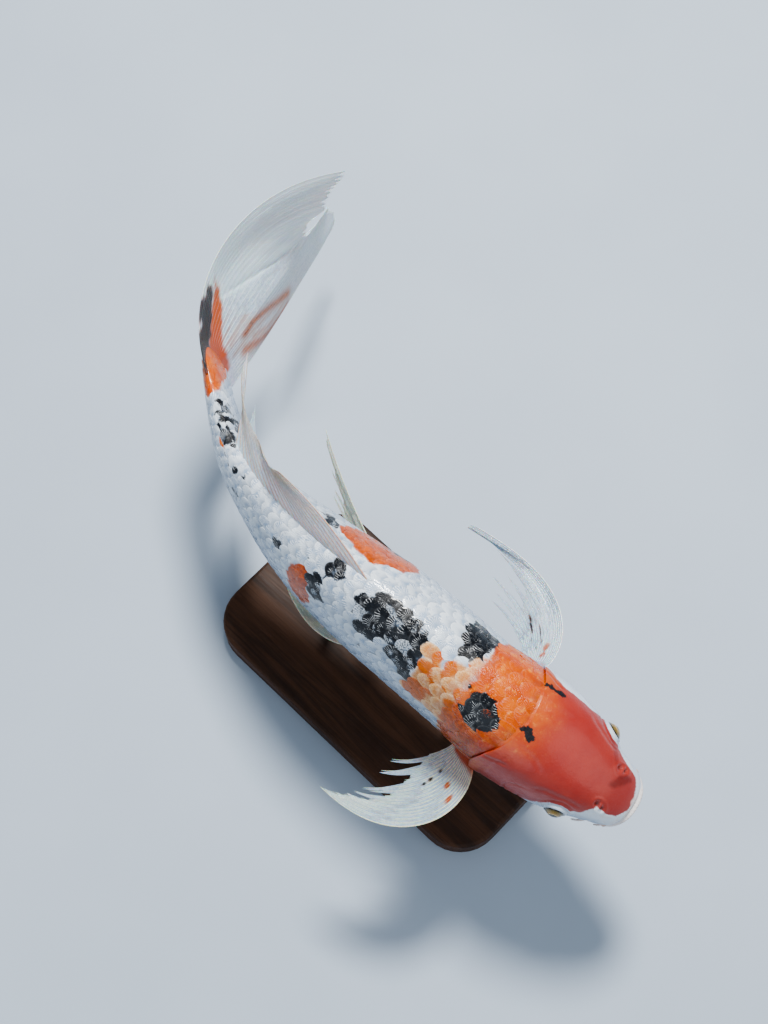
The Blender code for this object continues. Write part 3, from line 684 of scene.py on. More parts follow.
def skin_finish():
    f = Finish("koi_skin", Roughness=0.36, Coat_Weight=0.30, Coat_Roughness=0.16)
    fine = f.noise(900, 3, 0.6)
    base = body_colour(f, fine)
    lip = f.attribute("lip")
    base = f.mix(f.math("MULTIPLY", lip, 0.9), base, f.mix(f.span(fine, 0.3, 0.7), linear((236, 232, 228)), linear((220, 208, 204))))
    # Painted shade: the mouth's slit and the nostril holes are painted dark.
    base = f.mix(f.attribute("mouth"), base, linear((96, 40, 34)))
    base = f.mix(f.span(f.noise(1600, 2, 0.6), 0.5, 0.8, 0.0, 0.14), base, linear((120, 52, 30)))
    f.colour(base)
    f.roughness(f.span(f.noise(260, 3, 0.6), 0.3, 0.7, 0.30, 0.46))
    pores = f.span(f.cells(420), 0.0, 0.28, 0.0, 1.0)
    n = f.bump(pores, 0.25, 0.0003)
    f.normal(f.bump(f.noise(700, 4, 0.6), 0.35, 0.0005, n))
    return f.material


def scale_finish():
    f = Finish("koi_scale", Roughness=0.28, Specular_IOR_Level=0.30, Coat_Weight=0.32, Coat_Roughness=0.07)
    fine = f.noise(1100, 3, 0.6)
    base = body_colour(f, fine)
    tone, edge, root = f.attribute("tone"), f.attribute("edge"), f.attribute("root")
    hi, sumi = f.attribute("hi"), f.attribute("sumi")
    plain = f.math("SUBTRACT", 1.0, f.math("MAXIMUM", hi, sumi), clamp=True)
    cream = f.math("MULTIPLY", f.attribute("cream"), f.math("SUBTRACT", 1.0, f.math("MAXIMUM", hi, sumi), clamp=True))
    blotch = f.noise(330, 4, 0.7)
    heart = f.math("MULTIPLY", f.span(edge, 0.05, 0.60, 1.0, 0.0), f.span(blotch, 0.34, 0.56, 0.15, 1.0))
    base = f.mix(f.math("MULTIPLY", f.math("MULTIPLY", cream, heart), 0.95), base, OCHRE)
    plain = f.math("SUBTRACT", plain, f.math("MULTIPLY", cream, 0.85), clamp=True)
    # Painted shade: each scale is darker where it goes under the next one forward, and a pale one has a painted
    # blue-grey shade at its root and a pale rim.
    base = f.mix(f.math("MULTIPLY", f.span(root, 0.05, 0.92, 0.66, 0.04), plain), base, linear((112, 134, 164)))
    base = f.mix(f.span(root, 0.0, 0.75, 0.28, 0.0), base, f.mix(0.75, base, linear((24, 14, 10))))
    rim = f.math("MULTIPLY", f.span(edge, 0.50, 0.90), f.math("ADD", 0.04, f.math("MULTIPLY", plain, 0.20)))
    base = f.mix(rim, base, linear((250, 250, 250)))
    # Painted glints: sharp pale strokes along the scale's ridges, in broken tufts, which on pale scales lie over a
    # painted blue-grey sheen.
    ring = f.attribute("ring")
    bent = f.math("ADD", f.math("MULTIPLY", f.attribute("spoke"), 30.0), f.span(f.noise(240, 3, 0.6), 0.0, 1.0, 0.0, 9.0))
    spokes = f.math("SINE", bent)
    painted_glints = f.math("MULTIPLY", f.span(spokes, 0.62, 0.92), f.span(ring, 0.10, 0.40))
    glint_tufts = f.span(f.noise(170, 2, 0.5), 0.48, 0.58)
    # Painted blue-grey sheen under the glints on pale scales.
    base = f.mix(f.math("MULTIPLY", f.math("MULTIPLY", glint_tufts, plain), 0.80), base, linear((142, 165, 192)))
    painted_glints = f.math("MULTIPLY", painted_glints, glint_tufts)
    glint_weight = f.math("ADD", f.math("MULTIPLY", sumi, 0.42), f.math("ADD", f.math("MULTIPLY", plain, 0.88), 0.08), clamp=True)
    # Painted glints, strongest on pale scales and weaker on black ones.
    base = f.mix(f.math("MULTIPLY", painted_glints, glint_weight), base, linear((250, 252, 254)))
    base = f.mix(f.math("MULTIPLY", f.span(tone, 0.0, 1.0, 0.0, 0.26), plain), base, f.mix(0.7, base, linear((52, 62, 84))))
    f.colour(base)
    f.roughness(f.span(tone, 0.0, 1.0, 0.14, 0.38))
    rings = f.math("SINE", f.math("MULTIPLY", ring, 58.0))
    n = f.bump(rings, 0.25, 0.00010)
    n = f.bump(f.math("MULTIPLY", spokes, f.span(ring, 0.1, 0.5, 0.1, 1.0)), 0.35, 0.00012, n)
    f.normal(f.bump(f.noise(420, 4, 0.65), 0.55, 0.0009, n))
    return f.material


def web_finish(name, tint, dark, alpha):
    f = Finish(name, Roughness=0.30, Coat_Weight=0.3, Coat_Roughness=0.12, Alpha=alpha, Subsurface_Weight=0.6, Subsurface_Scale=0.004)
    fine = f.noise(500, 4, 0.6)
    base = f.mix(f.span(fine, 0.3, 0.72), dark, tint)
    # Painted light on the tail's upper lobe, and a painted highlight along its crease.
    base = f.mix(f.attribute("painted_light"), base, linear((250, 250, 248)))
    base = f.mix(f.attribute("brown"), base, f.mix(f.span(fine, 0.35, 0.65), linear((186, 96, 34)), linear((118, 62, 24))))
    base = f.mix(f.attribute("hi"), base, f.mix(f.span(fine, 0.35, 0.65), ORANGE, linear((176, 72, 16))))
    base = f.mix(f.attribute("sumi"), base, BLACK)
    f.colour(base)
    streak = f.math("SINE", f.math("MULTIPLY", f.attribute("across"), 900.0))
    n = f.bump(streak, 0.2, 0.0002)
    f.normal(f.bump(fine, 0.4, 0.0005, n))
    return f.material


def ray_finish(name, tint, dark):
    f = Finish(name, Roughness=0.34, Coat_Weight=0.3, Coat_Roughness=0.12, Subsurface_Weight=0.6, Subsurface_Scale=0.004)
    fine = f.noise(700, 3, 0.6)
    base = f.mix(f.span(fine, 0.3, 0.7), tint, dark)
    joint = f.math("SINE", f.math("MULTIPLY", f.attribute("along"), 4200.0))
    base = f.mix(f.span(joint, 0.75, 1.0, 0.0, 0.3), base, dark)
    # The same painted light on the rays of the tail's upper lobe.
    base = f.mix(f.math("MULTIPLY", f.attribute("painted_light"), 0.7), base, linear((226, 226, 222)))
    base = f.mix(f.math("MULTIPLY", f.attribute("brown"), 0.9), base, linear((142, 74, 30)))
    base = f.mix(f.math("MULTIPLY", f.attribute("hi"), 0.9), base, f.mix(f.span(fine, 0.35, 0.65), ORANGE, linear((150, 60, 14))))
    base = f.mix(f.math("MULTIPLY", f.attribute("sumi"), 0.95), base, BLACK)
    f.colour(base)
    f.normal(f.bump(joint, 0.25, 0.0002))
    return f.material


def eye_finish():
    f = Finish("koi_eye", Roughness=0.10, Coat_Weight=1.0, Coat_Roughness=0.02)
    rad = f.attribute("rad")
    streaks = f.math("SINE", f.math("ADD", f.math("MULTIPLY", f.attribute("turn"), 46.0), f.span(f.noise(900, 3, 0.6), 0, 1, -3.0, 3.0)))
    gold = f.mix(f.span(streaks, -1, 1), linear((126, 94, 34)), linear((178, 142, 70)))
    olive = f.mix(f.span(f.noise(1500, 3, 0.6), 0.3, 0.7), linear((84, 72, 34)), linear((140, 120, 60)))
    iris = f.mix(f.span(rad, 0.52, 0.80), gold, olive)
    iris = f.mix(f.span(rad, 0.80, 0.93), iris, linear((34, 28, 18)))
    base = f.mix(f.span(rad, 0.405, 0.425), linear((4, 4, 5)), f.mix(f.span(rad, 0.44, 0.50), linear((232, 206, 140)), iris))
    base = f.mix(f.span(rad, 0.97, 1.06), base, linear((206, 206, 200)))
    f.colour(base)
    return f.material


def wood_finish():
    f = Finish("walnut", Roughness=0.55, Specular_IOR_Level=0.30)
    grain = f.noise(1.0, 6, 0.62, f.stretched((95, 7, 60)), 0.6)
    fibre = f.noise(1.0, 4, 0.7, f.stretched((900, 28, 600)))
    base = f.mix(f.span(grain, 0.34, 0.66), linear((48, 30, 20)), linear((84, 54, 35)))
    base = f.mix(f.span(fibre, 0.45, 0.8, 0.0, 0.55), base, linear((42, 24, 15)))
    f.colour(base)
    f.roughness(f.span(fibre, 0.3, 0.8, 0.50, 0.68))
    f.normal(f.bump(fibre, 0.18, 0.0004))
    return f.material


def steel_finish():
    f = Finish("brushed_steel", Metallic=1.0, Roughness=0.28)
    brush = f.noise(1.0, 3, 0.6, f.stretched((400, 400, 6000)))
    f.colour(f.mix(brush, linear((176, 178, 182)), linear((204, 206, 208))))
    f.roughness(f.span(brush, 0.3, 0.7, 0.22, 0.36))
    f.normal(f.bump(brush, 0.06, 0.0001))
    return f.material


def pad_finish():
    f = Finish("stand_pad", Roughness=0.72)
    grain = f.noise(2200, 3, 0.6)
    f.colour(f.mix(f.span(grain, 0.3, 0.7), linear((44, 44, 46)), linear((66, 66, 68))))
    f.normal(f.bump(grain, 0.3, 0.0003))
    return f.material


def floor_finish():
    f = Finish("pale_floor", Roughness=0.72)
    f.colour(f.mix(f.span(f.noise(6, 3, 0.5), 0.3, 0.7), linear((172, 184, 198)), linear((176, 188, 202))))
    return f.material


# ---- the skin ---------------------------------------------------------------------------
COAT = 0.75 * MM  # how deep the skin lies under the scales' tops
HEAD_RINGS, BODY_RINGS, AROUND = 190, 104, 264


def column_angles():
    """Angles round the body, closer together near the eyes."""
    fine = np.linspace(-np.pi, np.pi, 4001)
    density = 1 + 1.1 * bell(np.degrees(np.abs(fine)) - 72, 24)
    total = np.concatenate([[0], np.cumsum((density[1:] + density[:-1]) / 2)])
    return np.interp(np.arange(AROUND) / AROUND, total / total[-1], fine)


def mouth_points(count=81):
    f = np.linspace(1, -1, count)
    a = np.radians(90 + (MOUTH_CORNER_ANGLE - 90) * np.abs(f)) * np.where(f >= 0, 1, -1)
    return f, skin(MOUTH_LENGTH * f * f + 1e-5, a)


def eye_frame(side):
    s, a = np.array([EYE_AT]), np.array([math.radians(EYE_ANGLE) * side])
    n = skin_normal(s, a)[0]
    return skin(s, a)[0] - n * EYE_INSET, n


def near_line(s, arc, line):
    """Distance in the unrolled skin to a run of (mm behind the snout, degrees) points, and where along it."""
    ps = np.array([p[0] for p in line]) * MM
    pa = arc_of(ps, np.radians([p[1] for p in line]))
    best, share = np.full(s.shape, 1e9), np.zeros(s.shape)
    for k in range(len(ps) - 1):
        dx, dy = ps[k + 1] - ps[k], pa[k + 1] - pa[k]
        t = np.clip(((s - ps[k]) * dx + (arc - pa[k]) * dy) / (dx * dx + dy * dy), 0, 1)
        d = np.hypot(s - ps[k] - t * dx, arc - pa[k] - t * dy)
        closer = d < best
        best, share = np.where(closer, d, best), np.where(closer, (k + t) / (len(ps) - 1), share)
    return best, share


def smooth_line(line, count=24):
    at = np.linspace(0, 1, len(line))
    want = np.linspace(0, 1, count)
    return list(zip(smooth_curve(want, at, [p[0] for p in line]), smooth_curve(want, at, [p[1] for p in line])))


CHEEK_LINES = (
    # outline in (mm, degrees), groove depth and width; a ridge 0.35 of the groove's depth runs alongside it
    (((57, 58), (68, 66), (74, 82), (74, 100), (68, 116), (56, 132), (44, 146)), 0.50, 1.0),
    (((62, 84), (64, 98), (60, 112), (51, 126)), 0.28, 1.1),
    (((76, 45), (84, 49), (93, 54), (99, 60)), 0.40, 1.0),
    (((24, 78), (30, 96), (40, 104), (52, 100), (57, 88)), 0.30, 1.1),
    (((27, 52), (36, 46), (48, 47), (57, 56)), 0.28, 1.4),
    (((8, 50), (14, 66), (20, 88), (24, 108)), 0.35, 1.2),
    (((56, 30), (66, 22), (79, 20)), 0.18, 1.6),
    (((84, 96), (92, 108), (86, 126), (74, 140)), 0.22, 1.2),
)
NOSTRIL_AT, NOSTRIL_TURN = 21.0, 31.0


def head_relief(points, normals, s, angle):
    """Moves the skin of the head in and out: gill covers, cheek lines, nostrils, mouth and lips, then the eye sockets."""
    arc = arc_of(s, angle)
    degrees = np.degrees((angle + np.pi) % (2 * np.pi) - np.pi)
    up = np.zeros(s.shape)
    head = s < 0.108
    # Soft lumps over the head.
    lumps = 0.16 * rough_mottle(points, 0.009, 61) * ease(s, 0.010, 0.030)
    up += np.where(head, lumps, 0)
    for line, depth, width in CHEEK_LINES:
        for side in (1, -1):
            d, share = near_line(s, arc, smooth_line([(p[0], p[1] * side) for p in line]))
            ends = ease(share, 0, 0.15) * (1 - ease(share, 0.85, 1))
            up -= depth * bell(d / MM, width) * ends
            up += 0.35 * depth * bell(d / MM - 2.2 * width, width) * ends
    # Nostrils: a front hole and a wider rear one, with a flap of skin between them.
    lip = np.zeros(s.shape)
    mouth = np.zeros(s.shape)
    for side in (1, -1):
        at = NOSTRIL_AT * MM
        here = arc_of(np.array(at), math.radians(NOSTRIL_TURN) * side)
        x, y = (s - at) / MM, (arc - here) / MM * side
        rear = np.hypot(x / 1.7, y / 2.3)
        front = np.hypot((x + 3.6) / 1.3, (y - 0.4) / 1.7)
        up -= 1.5 * bell(rear, 0.85) + 1.2 * bell(front, 0.8)
        up += 0.9 * bell((x + 1.9) / 0.75, 1) * bell(y / 2.4, 1) + 0.3 * bell(np.hypot(x + 1.5, y) - 4.6, 1.0)
        # Painted shade: the nostril holes are also marked for painting dark.
        mouth = np.maximum(mouth, np.maximum(bell(rear, 0.6), bell(front, 0.6)) * 0.85)
    # The mouth: a slit with a thick lip over and under it.
    f, line = mouth_points()
    low = s < 0.034
    p = points[low]
    d = np.linalg.norm(p[:, None, :] - line[None, :, :], axis=-1)
    k = d.argmin(axis=1)
    d = d[np.arange(len(k)), k] / MM
    over = np.where(p[:, 2] >= line[k, 2], 1.0, -1.0)
    reach = 1 - 0.75 * np.abs(f[k]) ** 4
    full = np.where(over > 0, 1.0, 0.9)
    rise = (0.75 * bell(d - 2.3, 1.5) * full - 2.8 * bell(d, 0.55) - 1.15 * bell(d - 5.4, 1.5)) * reach
    creases = 0.10 * np.sin(f[k] * 95 + 1.5 * np.sin(d * 2)) * bell(d - 2.6, 1.6)
    up[low] += rise + creases * reach
    lip[low] = ease(4.6 - d + 0.5 * mottle(p, 0.003, 71), -0.4, 1.0)
    # Painted shade along the mouth's slit.
    mouth[low] = np.maximum(mouth[low], ease(0.8 - d, 0, 0.5) * reach)
    points = points + normals * (up * MM)[..., None]
    # Eye sockets: the skin rises on to the eyeball in a soft ring, then turns in under it.
    for side in (1, -1):
        centre, axis = eye_frame(side)
        local = points - centre
        along = (local @ axis) / MM
        out = np.linalg.norm(local - (local @ axis)[..., None] * axis, axis=-1) / MM
        close = (out < 13) & (along > -2)
        ball = np.sqrt(np.maximum(8.7**2 - out**2, 0))
        rim = ball + np.interp(out, [0, 5.2, 6.1, 6.5, 6.9, 7.4, 8.2], [-2.5, -2.3, -1.3, -0.25, 0.45, 0.72, 0.55])
        swell = along + 0.75 * bell(out - 9.0, 1.9) - 0.35 * bell(out - 12.0, 1.0)
        share = ease(out, 7.3, 10.2)
        want = np.where(out < 8.6, rim, along) * (1 - share) + swell * share
        points = points + np.where(close, (want - along) * MM, 0)[..., None] * axis
    return points, lip, mouth


def build_skin(material):
    columns = column_angles()
    edge = gill_edge(columns)
    flap = ease(np.degrees(np.abs(columns)), 26, 52) * (1 - 0.6 * ease(np.degrees(np.abs(columns)), 150, 175))
    # The cover stands out most at its lower rear corner.
    flare = 1.5 * bell(np.degrees(np.abs(columns)) - 104, 17)
    nose = math.sqrt(0.00012)
    rows_s, rows_up = [], []
    for f in np.linspace(0, 1, HEAD_RINGS):
        s = (nose + (np.sqrt(edge) - nose) * f) ** 2
        swell = 0.75 * ease(s, edge - 0.011, edge - 0.001) + 0.5 * ease(s, edge - 0.034, edge - 0.016)
        seam = 0.30 * bell((s - (edge - 0.0075)) / MM, 0.9)
        nape = 0.35 * ease(s, edge - 0.010, edge) * (1 - flap)
        rows_s.append(s)
        rows_up.append((swell - seam) * flap - nape + flare * ease(s, edge - 0.022, edge - 0.002))
    # The gill cover's free edge: round, then in under itself, then out again on to the shoulder.
    for k, (back, up, shoulder) in enumerate(
        ((0.45, 1.10, -0.35), (0.75, 0.75, -0.40), (0.80, 0.30, -0.45), (0.45, -0.20, -0.50), (-0.9, -0.75, -0.55),
         (-1.1, -1.15, -0.60), (-0.1, -1.45, -0.62), (0.9, -1.50, -0.64))
    ):
        rows_s.append(edge + (back * flap + 0.06 * (k + 1)) * MM)
        rows_up.append(up * flap + shoulder * (1 - flap) + flare * max(0.0, 1 - k / 4))
    start = rows_s[-1]
    for f in np.linspace(0, 1, BODY_RINGS + 1)[1:]:
        s = start + (BODY_END - start) * (0.25 * f * f + 0.75 * f)
        past = s - start
        rows_s.append(s)
        rows_up.append(-COAT / MM - (0.75 * flap) * bell(past / MM, 3.5) + (1 - flap) * (COAT / MM - 0.62) * bell(past / MM, 3))
    s = np.array(rows_s)
    angle = np.broadcast_to(columns, s.shape)
    up = np.array(rows_up)
    points, normals = skin(s, angle), skin_normal(s, angle)
    flat = points
    points = points + normals * (up * MM)[..., None]
    head = slice(0, HEAD_RINGS + 2)
    points[head], lip_head, mouth_head = head_relief(points[head], normals[head], s[head], angle[head])
    lip, mouth = np.zeros(s.shape), np.zeros(s.shape)
    lip[head], mouth[head] = lip_head, mouth_head
    # The snout's front is pale, like the lips.
    lip = np.maximum(lip, ease(0.0042 + 0.0012 * mottle(flat, 0.004, 77) - s, -0.0006, 0.0012))
    values = markings(s, angle, flat)
    for side in (1, -1):
        centre, axis = eye_frame(side)
        local = flat - centre
        ring = np.linalg.norm(local - (local @ axis)[..., None] * axis, axis=-1) / MM
        pale = ease(10.2 - ring + 0.5 * mottle(flat, 0.003, 79), 0, 0.9) * (local @ axis > 0)
        # The ring round each eye is white, and gets half the painted grey-blue shade.
        values["hi"] = values["hi"] * (1 - 0.92 * pale)
        values["shade"] = np.maximum(values["shade"], 0.5 * pale)
    values["lip"], values["mouth"] = lip, mouth
    rings, cols = s.shape
    body = points.reshape(-1, 3)
    tip = points[0].mean(axis=0) - spine(np.array(0.0))[1] * 0.0002
    last, _, _ = spine(np.array(BODY_END + 0.0008))
    end = last + RISE * widest(np.array(BODY_END))
    points = np.vstack([body, tip, end])
    quads = grid_quads(rings, cols, closed=True)
    centre = np.repeat((skin(s, angle) - spine(s)[0]).reshape(-1, 3)[quads[:, 0]][:, None], 1, 1)[:, 0]
    turned = outward(points, quads, centre)
    flip = not np.array_equal(turned, quads)
    j = np.arange(cols)
    k = (j + 1) % cols
    front = np.stack([np.full(cols, rings * cols), k, j], -1)
    back = np.stack([np.full(cols, rings * cols + 1), (rings - 1) * cols + j, (rings - 1) * cols + k], -1)
    if flip:
        front, back = front[:, ::-1], back[:, ::-1]
    attributes = {
        key: np.concatenate([v.ravel(), [v[0].mean(), v[-1].mean()]]) for key, v in values.items()
    }
    u = np.linspace(0.004, 0.996, rings)[:, None] + np.zeros((1, cols))
    v = 0.003 + 0.994 * (np.arange(cols)[None, :] + 0.5) / cols + np.zeros((rings, 1))
    uv = np.concatenate([np.stack([u, v], -1).reshape(-1, 2), [[0.001, 0.5], [0.999, 0.5]]])
    return make_piece("koi_skin", points, turned, np.vstack([front, back]), material, attributes, uv)


# ---- scales -----------------------------------------------------------------------------
FIRST_SCALE, LAST_SCALE = 0.082, 0.4115


def scale_pitch(s):
    return (9.4 - 2.7 * ease(s, 0.10, 0.40)) * MM


def scale_row(s):
    """Width of a scale row: the rows narrow less than the body does, so some end at the back and the belly."""
    return np.interp(s, [0.08, 0.16, 0.24, 0.30, 0.35, 0.41], [9.0, 9.3, 8.6, 7.3, 6.4, 6.0]) * MM


def lateral(s):
    return half_girth(s) * 0.505


def scale_seats():
    """(place along, row number, side) of every scale. Row None-like values 90 and -90 are the back and belly rows."""
    places = [FIRST_SCALE]
    while places[-1] < LAST_SCALE:
        places.append(places[-1] + float(scale_pitch(places[-1])))
    places = np.array(places)
    seats = []
    for k in range(-12, 13):
        shifted = places + 0.5 * scale_pitch(places) * (k % 2)
        for s in shifted:
            if s > LAST_SCALE:
                continue
            arc = lateral(s) + k * scale_row(s)
            girth, row = half_girth(s), scale_row(s)
            if not 0.42 * row < arc < girth - 0.42 * row:
                continue
            angle = float(angle_at(np.array(s), np.array(arc)))
            if s < gill_edge(np.array(angle)) + 0.0015 + 0.002 * (angle < 0.6):
                continue
            for side in (1, -1):
                seats.append((s, k, side))
    for row, angle in ((90, 0.0), (-90, np.pi)):
        for s in places + 0.25 * scale_pitch(places):
            if gill_edge(np.array(angle)) + 0.003 < s < LAST_SCALE:
                seats.append((s, row, 1))
    return np.array(seats)


SCALE_ROWS, SCALE_COLS = 12, 13


def build_scales(material):
    seats = scale_seats()
    rng = np.random.default_rng(20)
    n = len(seats)
    s0, row, side = seats[:, 0], seats[:, 1], seats[:, 2]
    tone = rng.random(n)
    lift = rng.normal(0, 0.05, n)
    tilt = rng.normal(0, 0.10, n)
    lean = rng.normal(0, 0.08, n)
    swing = rng.normal(0, 0.045, n)
    size = 1 + rng.normal(0, 0.025, n)
    pitch, width = scale_pitch(s0) * size, scale_row(s0) * size
    x = np.linspace(0, 1, SCALE_ROWS)[None, :, None]
    y = np.linspace(-1, 1, SCALE_COLS)[None, None, :]
    small = ease(s0, 0.385, 0.41)
    front = (0.98 * pitch)[:, None, None] * (1 - 0.12 * y * y)
    rear = (0.80 * pitch * (1 - 0.15 * small))[:, None, None] * (1 - 0.50 * np.abs(y) ** 2.3)
    along = -front + x * (front + rear)
    across = y * (0.5 * 1.36 * width)[:, None, None] * (0.84 + 0.16 * np.sin(np.pi * np.clip(x, 0, 0.92))) * (1 - 0.12 * x**3)
    turned_a = along + across * swing[:, None, None]
    turned_q = across - along * swing[:, None, None]
    s = np.clip(s0[:, None, None] + turned_a, 0.0705, BODY_END - 0.0005)
    middle = np.where(
        (row == 90)[:, None, None], 0.0,
        np.where((row == -90)[:, None, None], half_girth(s), lateral(s) + row[:, None, None] * scale_row(s)),
    )
    arc = np.where((np.abs(row) == 90)[:, None, None], middle + turned_q, (middle + turned_q) * side[:, None, None])
    angle = angle_at(s, arc)
    base, normal = skin(s, angle), skin_normal(s, angle)
    share = np.clip((along + front) / (front + rear), 0, 1)
    high = -0.16 - 0.50 * (1 - share) - 0.10 * y * y + lift[:, None, None] + tilt[:, None, None] * y
    high = high + lean[:, None, None] * (share - 0.75)
    rim = np.maximum(np.abs(np.broadcast_to(y, share.shape)) ** 3, np.broadcast_to(x, share.shape) ** 7)
    high = high - 0.10 * ease(rim, 0.72, 1.0)
    # The lateral line: a fine tube along the middle row's scales, ending in a pore.
    tube = bell(across / MM, 0.55) * ease(along / MM, -3.2, -2.2) * (1 - ease(along / MM, 2.6, 3.4))
    pore = bell(np.hypot(across / MM, along / MM - 3.3), 0.55)
    high = high + np.where((row == 0)[:, None, None], 0.30 * tube - 0.25 * pore, 0)
    high = np.minimum(high, 0.05)
    # Behind the gill covers and the nape the scales slip in under the head's skin.
    under = s - gill_edge(angle)
    high = high - 0.9 * ease(-under, -0.0030, 0.0022)
    top = base + normal * (high * MM)[..., None]
    # Markings follow the scales' outlines in part, so each is read half way between the point and its scale's middle.
    centre_angle = angle[:, SCALE_ROWS * 2 // 3, SCALE_COLS // 2][:, None, None]
    turn = (angle - centre_angle + np.pi) % (2 * np.pi) - np.pi
    read_s = s0[:, None, None] + (s - s0[:, None, None]) * 0.55
    read_a = centre_angle + turn * 0.55
    read = skin(read_s, read_a)
    values = markings(read_s, read_a, read, 0.8)
    broken = rng.random(n)[:, None, None]
    values["sumi"] = values["sumi"] * np.where((broken < 0.05) & (read_s > 0.15), 0.5, 1.0)
    shift = np.broadcast_to(tone[:, None, None], s.shape)
    values["tone"] = shift
    values["edge"] = rim
    values["root"] = np.clip(1.25 * share - 0.25 * (1 - np.abs(y)), 0, 1)
    values["ring"] = np.hypot(along / pitch[:, None, None] + 0.15, across / width[:, None, None])
    values["spoke"] = np.arctan2(across, along + 0.35 * front)
    rows, cols = SCALE_ROWS, SCALE_COLS
    u = 0.02 + 0.96 * (s0 / BODY_END)[:, None, None] + (x - 0.5) * 0.003 + 0 * y
    middle_arc = arc_of(s0, centre_angle[:, 0, 0])
    v = 0.5 + (middle_arc / (2.1 * HALF_GIRTH.max()))[:, None, None] + y * 0.0015 + 0 * x
    v = v * 0.96 + 0.02
    rim_ids = rim_order(rows, cols)
    group_of = np.where(np.abs(row) == 90, 0, side).astype(int)
    made = []
    fore = s0 < 0.205
    for name, chosen in (
        ("scales_left_front", (group_of == 1) & fore), ("scales_left_rear", (group_of == 1) & ~fore),
        ("scales_right_front", (group_of == -1) & fore), ("scales_right_rear", (group_of == -1) & ~fore),
        ("scales_midline", group_of == 0),
    ):
        tops = top[chosen].reshape(-1, rows * cols, 3)
        m = len(tops)
        lows = (tops - normal[chosen].reshape(-1, rows * cols, 3) * 0.30 * MM)
        foot = lows[:, rim_ids]
        hub = lows.mean(axis=1, keepdims=True)
        points = np.concatenate([tops, foot, hub], axis=1)
        per = points.shape[1]
        one = grid_quads(rows, cols)
        k = len(rim_ids)
        ring = np.arange(k)
        after = (ring + 1) % k
        wall = np.stack([rim_ids, rim_ids[after], rows * cols + after, rows * cols + ring], -1)
        fan = np.stack([np.full(k, per - 1), rows * cols + ring, rows * cols + after], -1)
        # One scale tells which way the faces have to go, and the mirrored side is the other way round.
        sample = points[0]
        a, b, c = sample[one[:, 0]], sample[one[:, 1]], sample[one[:, 2]]
        outwards = (np.cross(b - a, c - a) * normal[chosen].reshape(-1, rows * cols, 3)[0][one[:, 0]]).sum() > 0
        # The wall runs along the rim as the top's own faces do, the other way round.
        t_first, t_next = rim_ids[0], rim_ids[1]
        runs = any((q[i] == t_first and q[(i + 1) % 4] == t_next) for q in one for i in range(4))
        if runs:
            wall, fan = wall[:, ::-1], fan[:, ::-1]
        if not outwards:
            one, wall, fan = one[:, ::-1], wall[:, ::-1], fan[:, ::-1]
        shift_ids = (np.arange(m) * per)[:, None, None]
        quads = (np.concatenate([one, wall])[None] + shift_ids).reshape(-1, 4)
        tris = (fan[None] + shift_ids).reshape(-1, 3)

        def spread(values_3d):
            flat = np.broadcast_to(values_3d, s.shape)[chosen].reshape(m, rows * cols)
            return np.concatenate([flat, flat[:, rim_ids], flat.mean(axis=1, keepdims=True)], axis=1).ravel()

        uv = np.stack([spread(u), spread(v)], -1)
        attributes = {key: spread(value) for key, value in values.items()}
        piece = make_piece(name, points.reshape(-1, 3), quads, tris, material, attributes, uv, sharp=50)
        made.append(piece)
    print("scales", n, [len(p.data.polygons) for p in made])
    return made


# ---- fins -------------------------------------------------------------------------------
def fin_grid(fin, u, t):
    """Mid-surface of a fin at u across its rays and t along them."""
    u, t = np.asarray(u, float), np.asarray(t, float)
    knots = [row[0] for row in fin["rays"]]
    a0, b0, da, db, length = (smooth_curve(u, knots, [row[i] for row in fin["rays"]]) for i in range(1, 6))
    side = fin["side"]
    s = smooth_curve(u, np.linspace(0, 1, len(fin["root_s"])), fin["root_s"])
    c, back, left = spine(s)
    if "root_level" in fin:
        r = roll(s)
        level = smooth_curve(u, np.linspace(0, 1, len(fin["root_level"])), fin["root_level"])
        p = c + (RISE * np.cos(r)[:, None] + left * np.sin(r)[:, None]) * level[:, None]
    else:
        angle = smooth_curve(u, np.linspace(0, 1, len(fin["root_angle"])), fin["root_angle"])
        p = skin(s, np.radians(angle) * side)
        inward = c + RISE * widest(s)[:, None] - p
        p = p + inward * (FIN_ROOT_DEPTH / np.linalg.norm(inward, axis=-1))[:, None]
    out = np.zeros((len(u), len(t), 3))
    out[:, 0] = p
    for j in range(1, len(t)):
        for m in range(2):
            f = t[j - 1] + (t[j] - t[j - 1]) * (m + 0.5) / 2
            turned = 1 - (1 - f) ** fin.get("early", 1.0)
            a, b = np.radians(a0 + da * turned)[:, None], np.radians(b0 + db * f)[:, None]
            d = (back * np.cos(a) + left * side * np.sin(a)) * np.cos(b) + RISE * np.sin(b)
            p = p + d * (length * (t[j] - t[j - 1]) / 2)[:, None]
        out[:, j] = p
    return out


def grid_normals(grid):
    du, dt = np.gradient(grid, axis=0), np.gradient(grid, axis=1)
    n = np.cross(du, dt)
    return n / np.maximum(np.linalg.norm(n, axis=-1, keepdims=True), 1e-12)


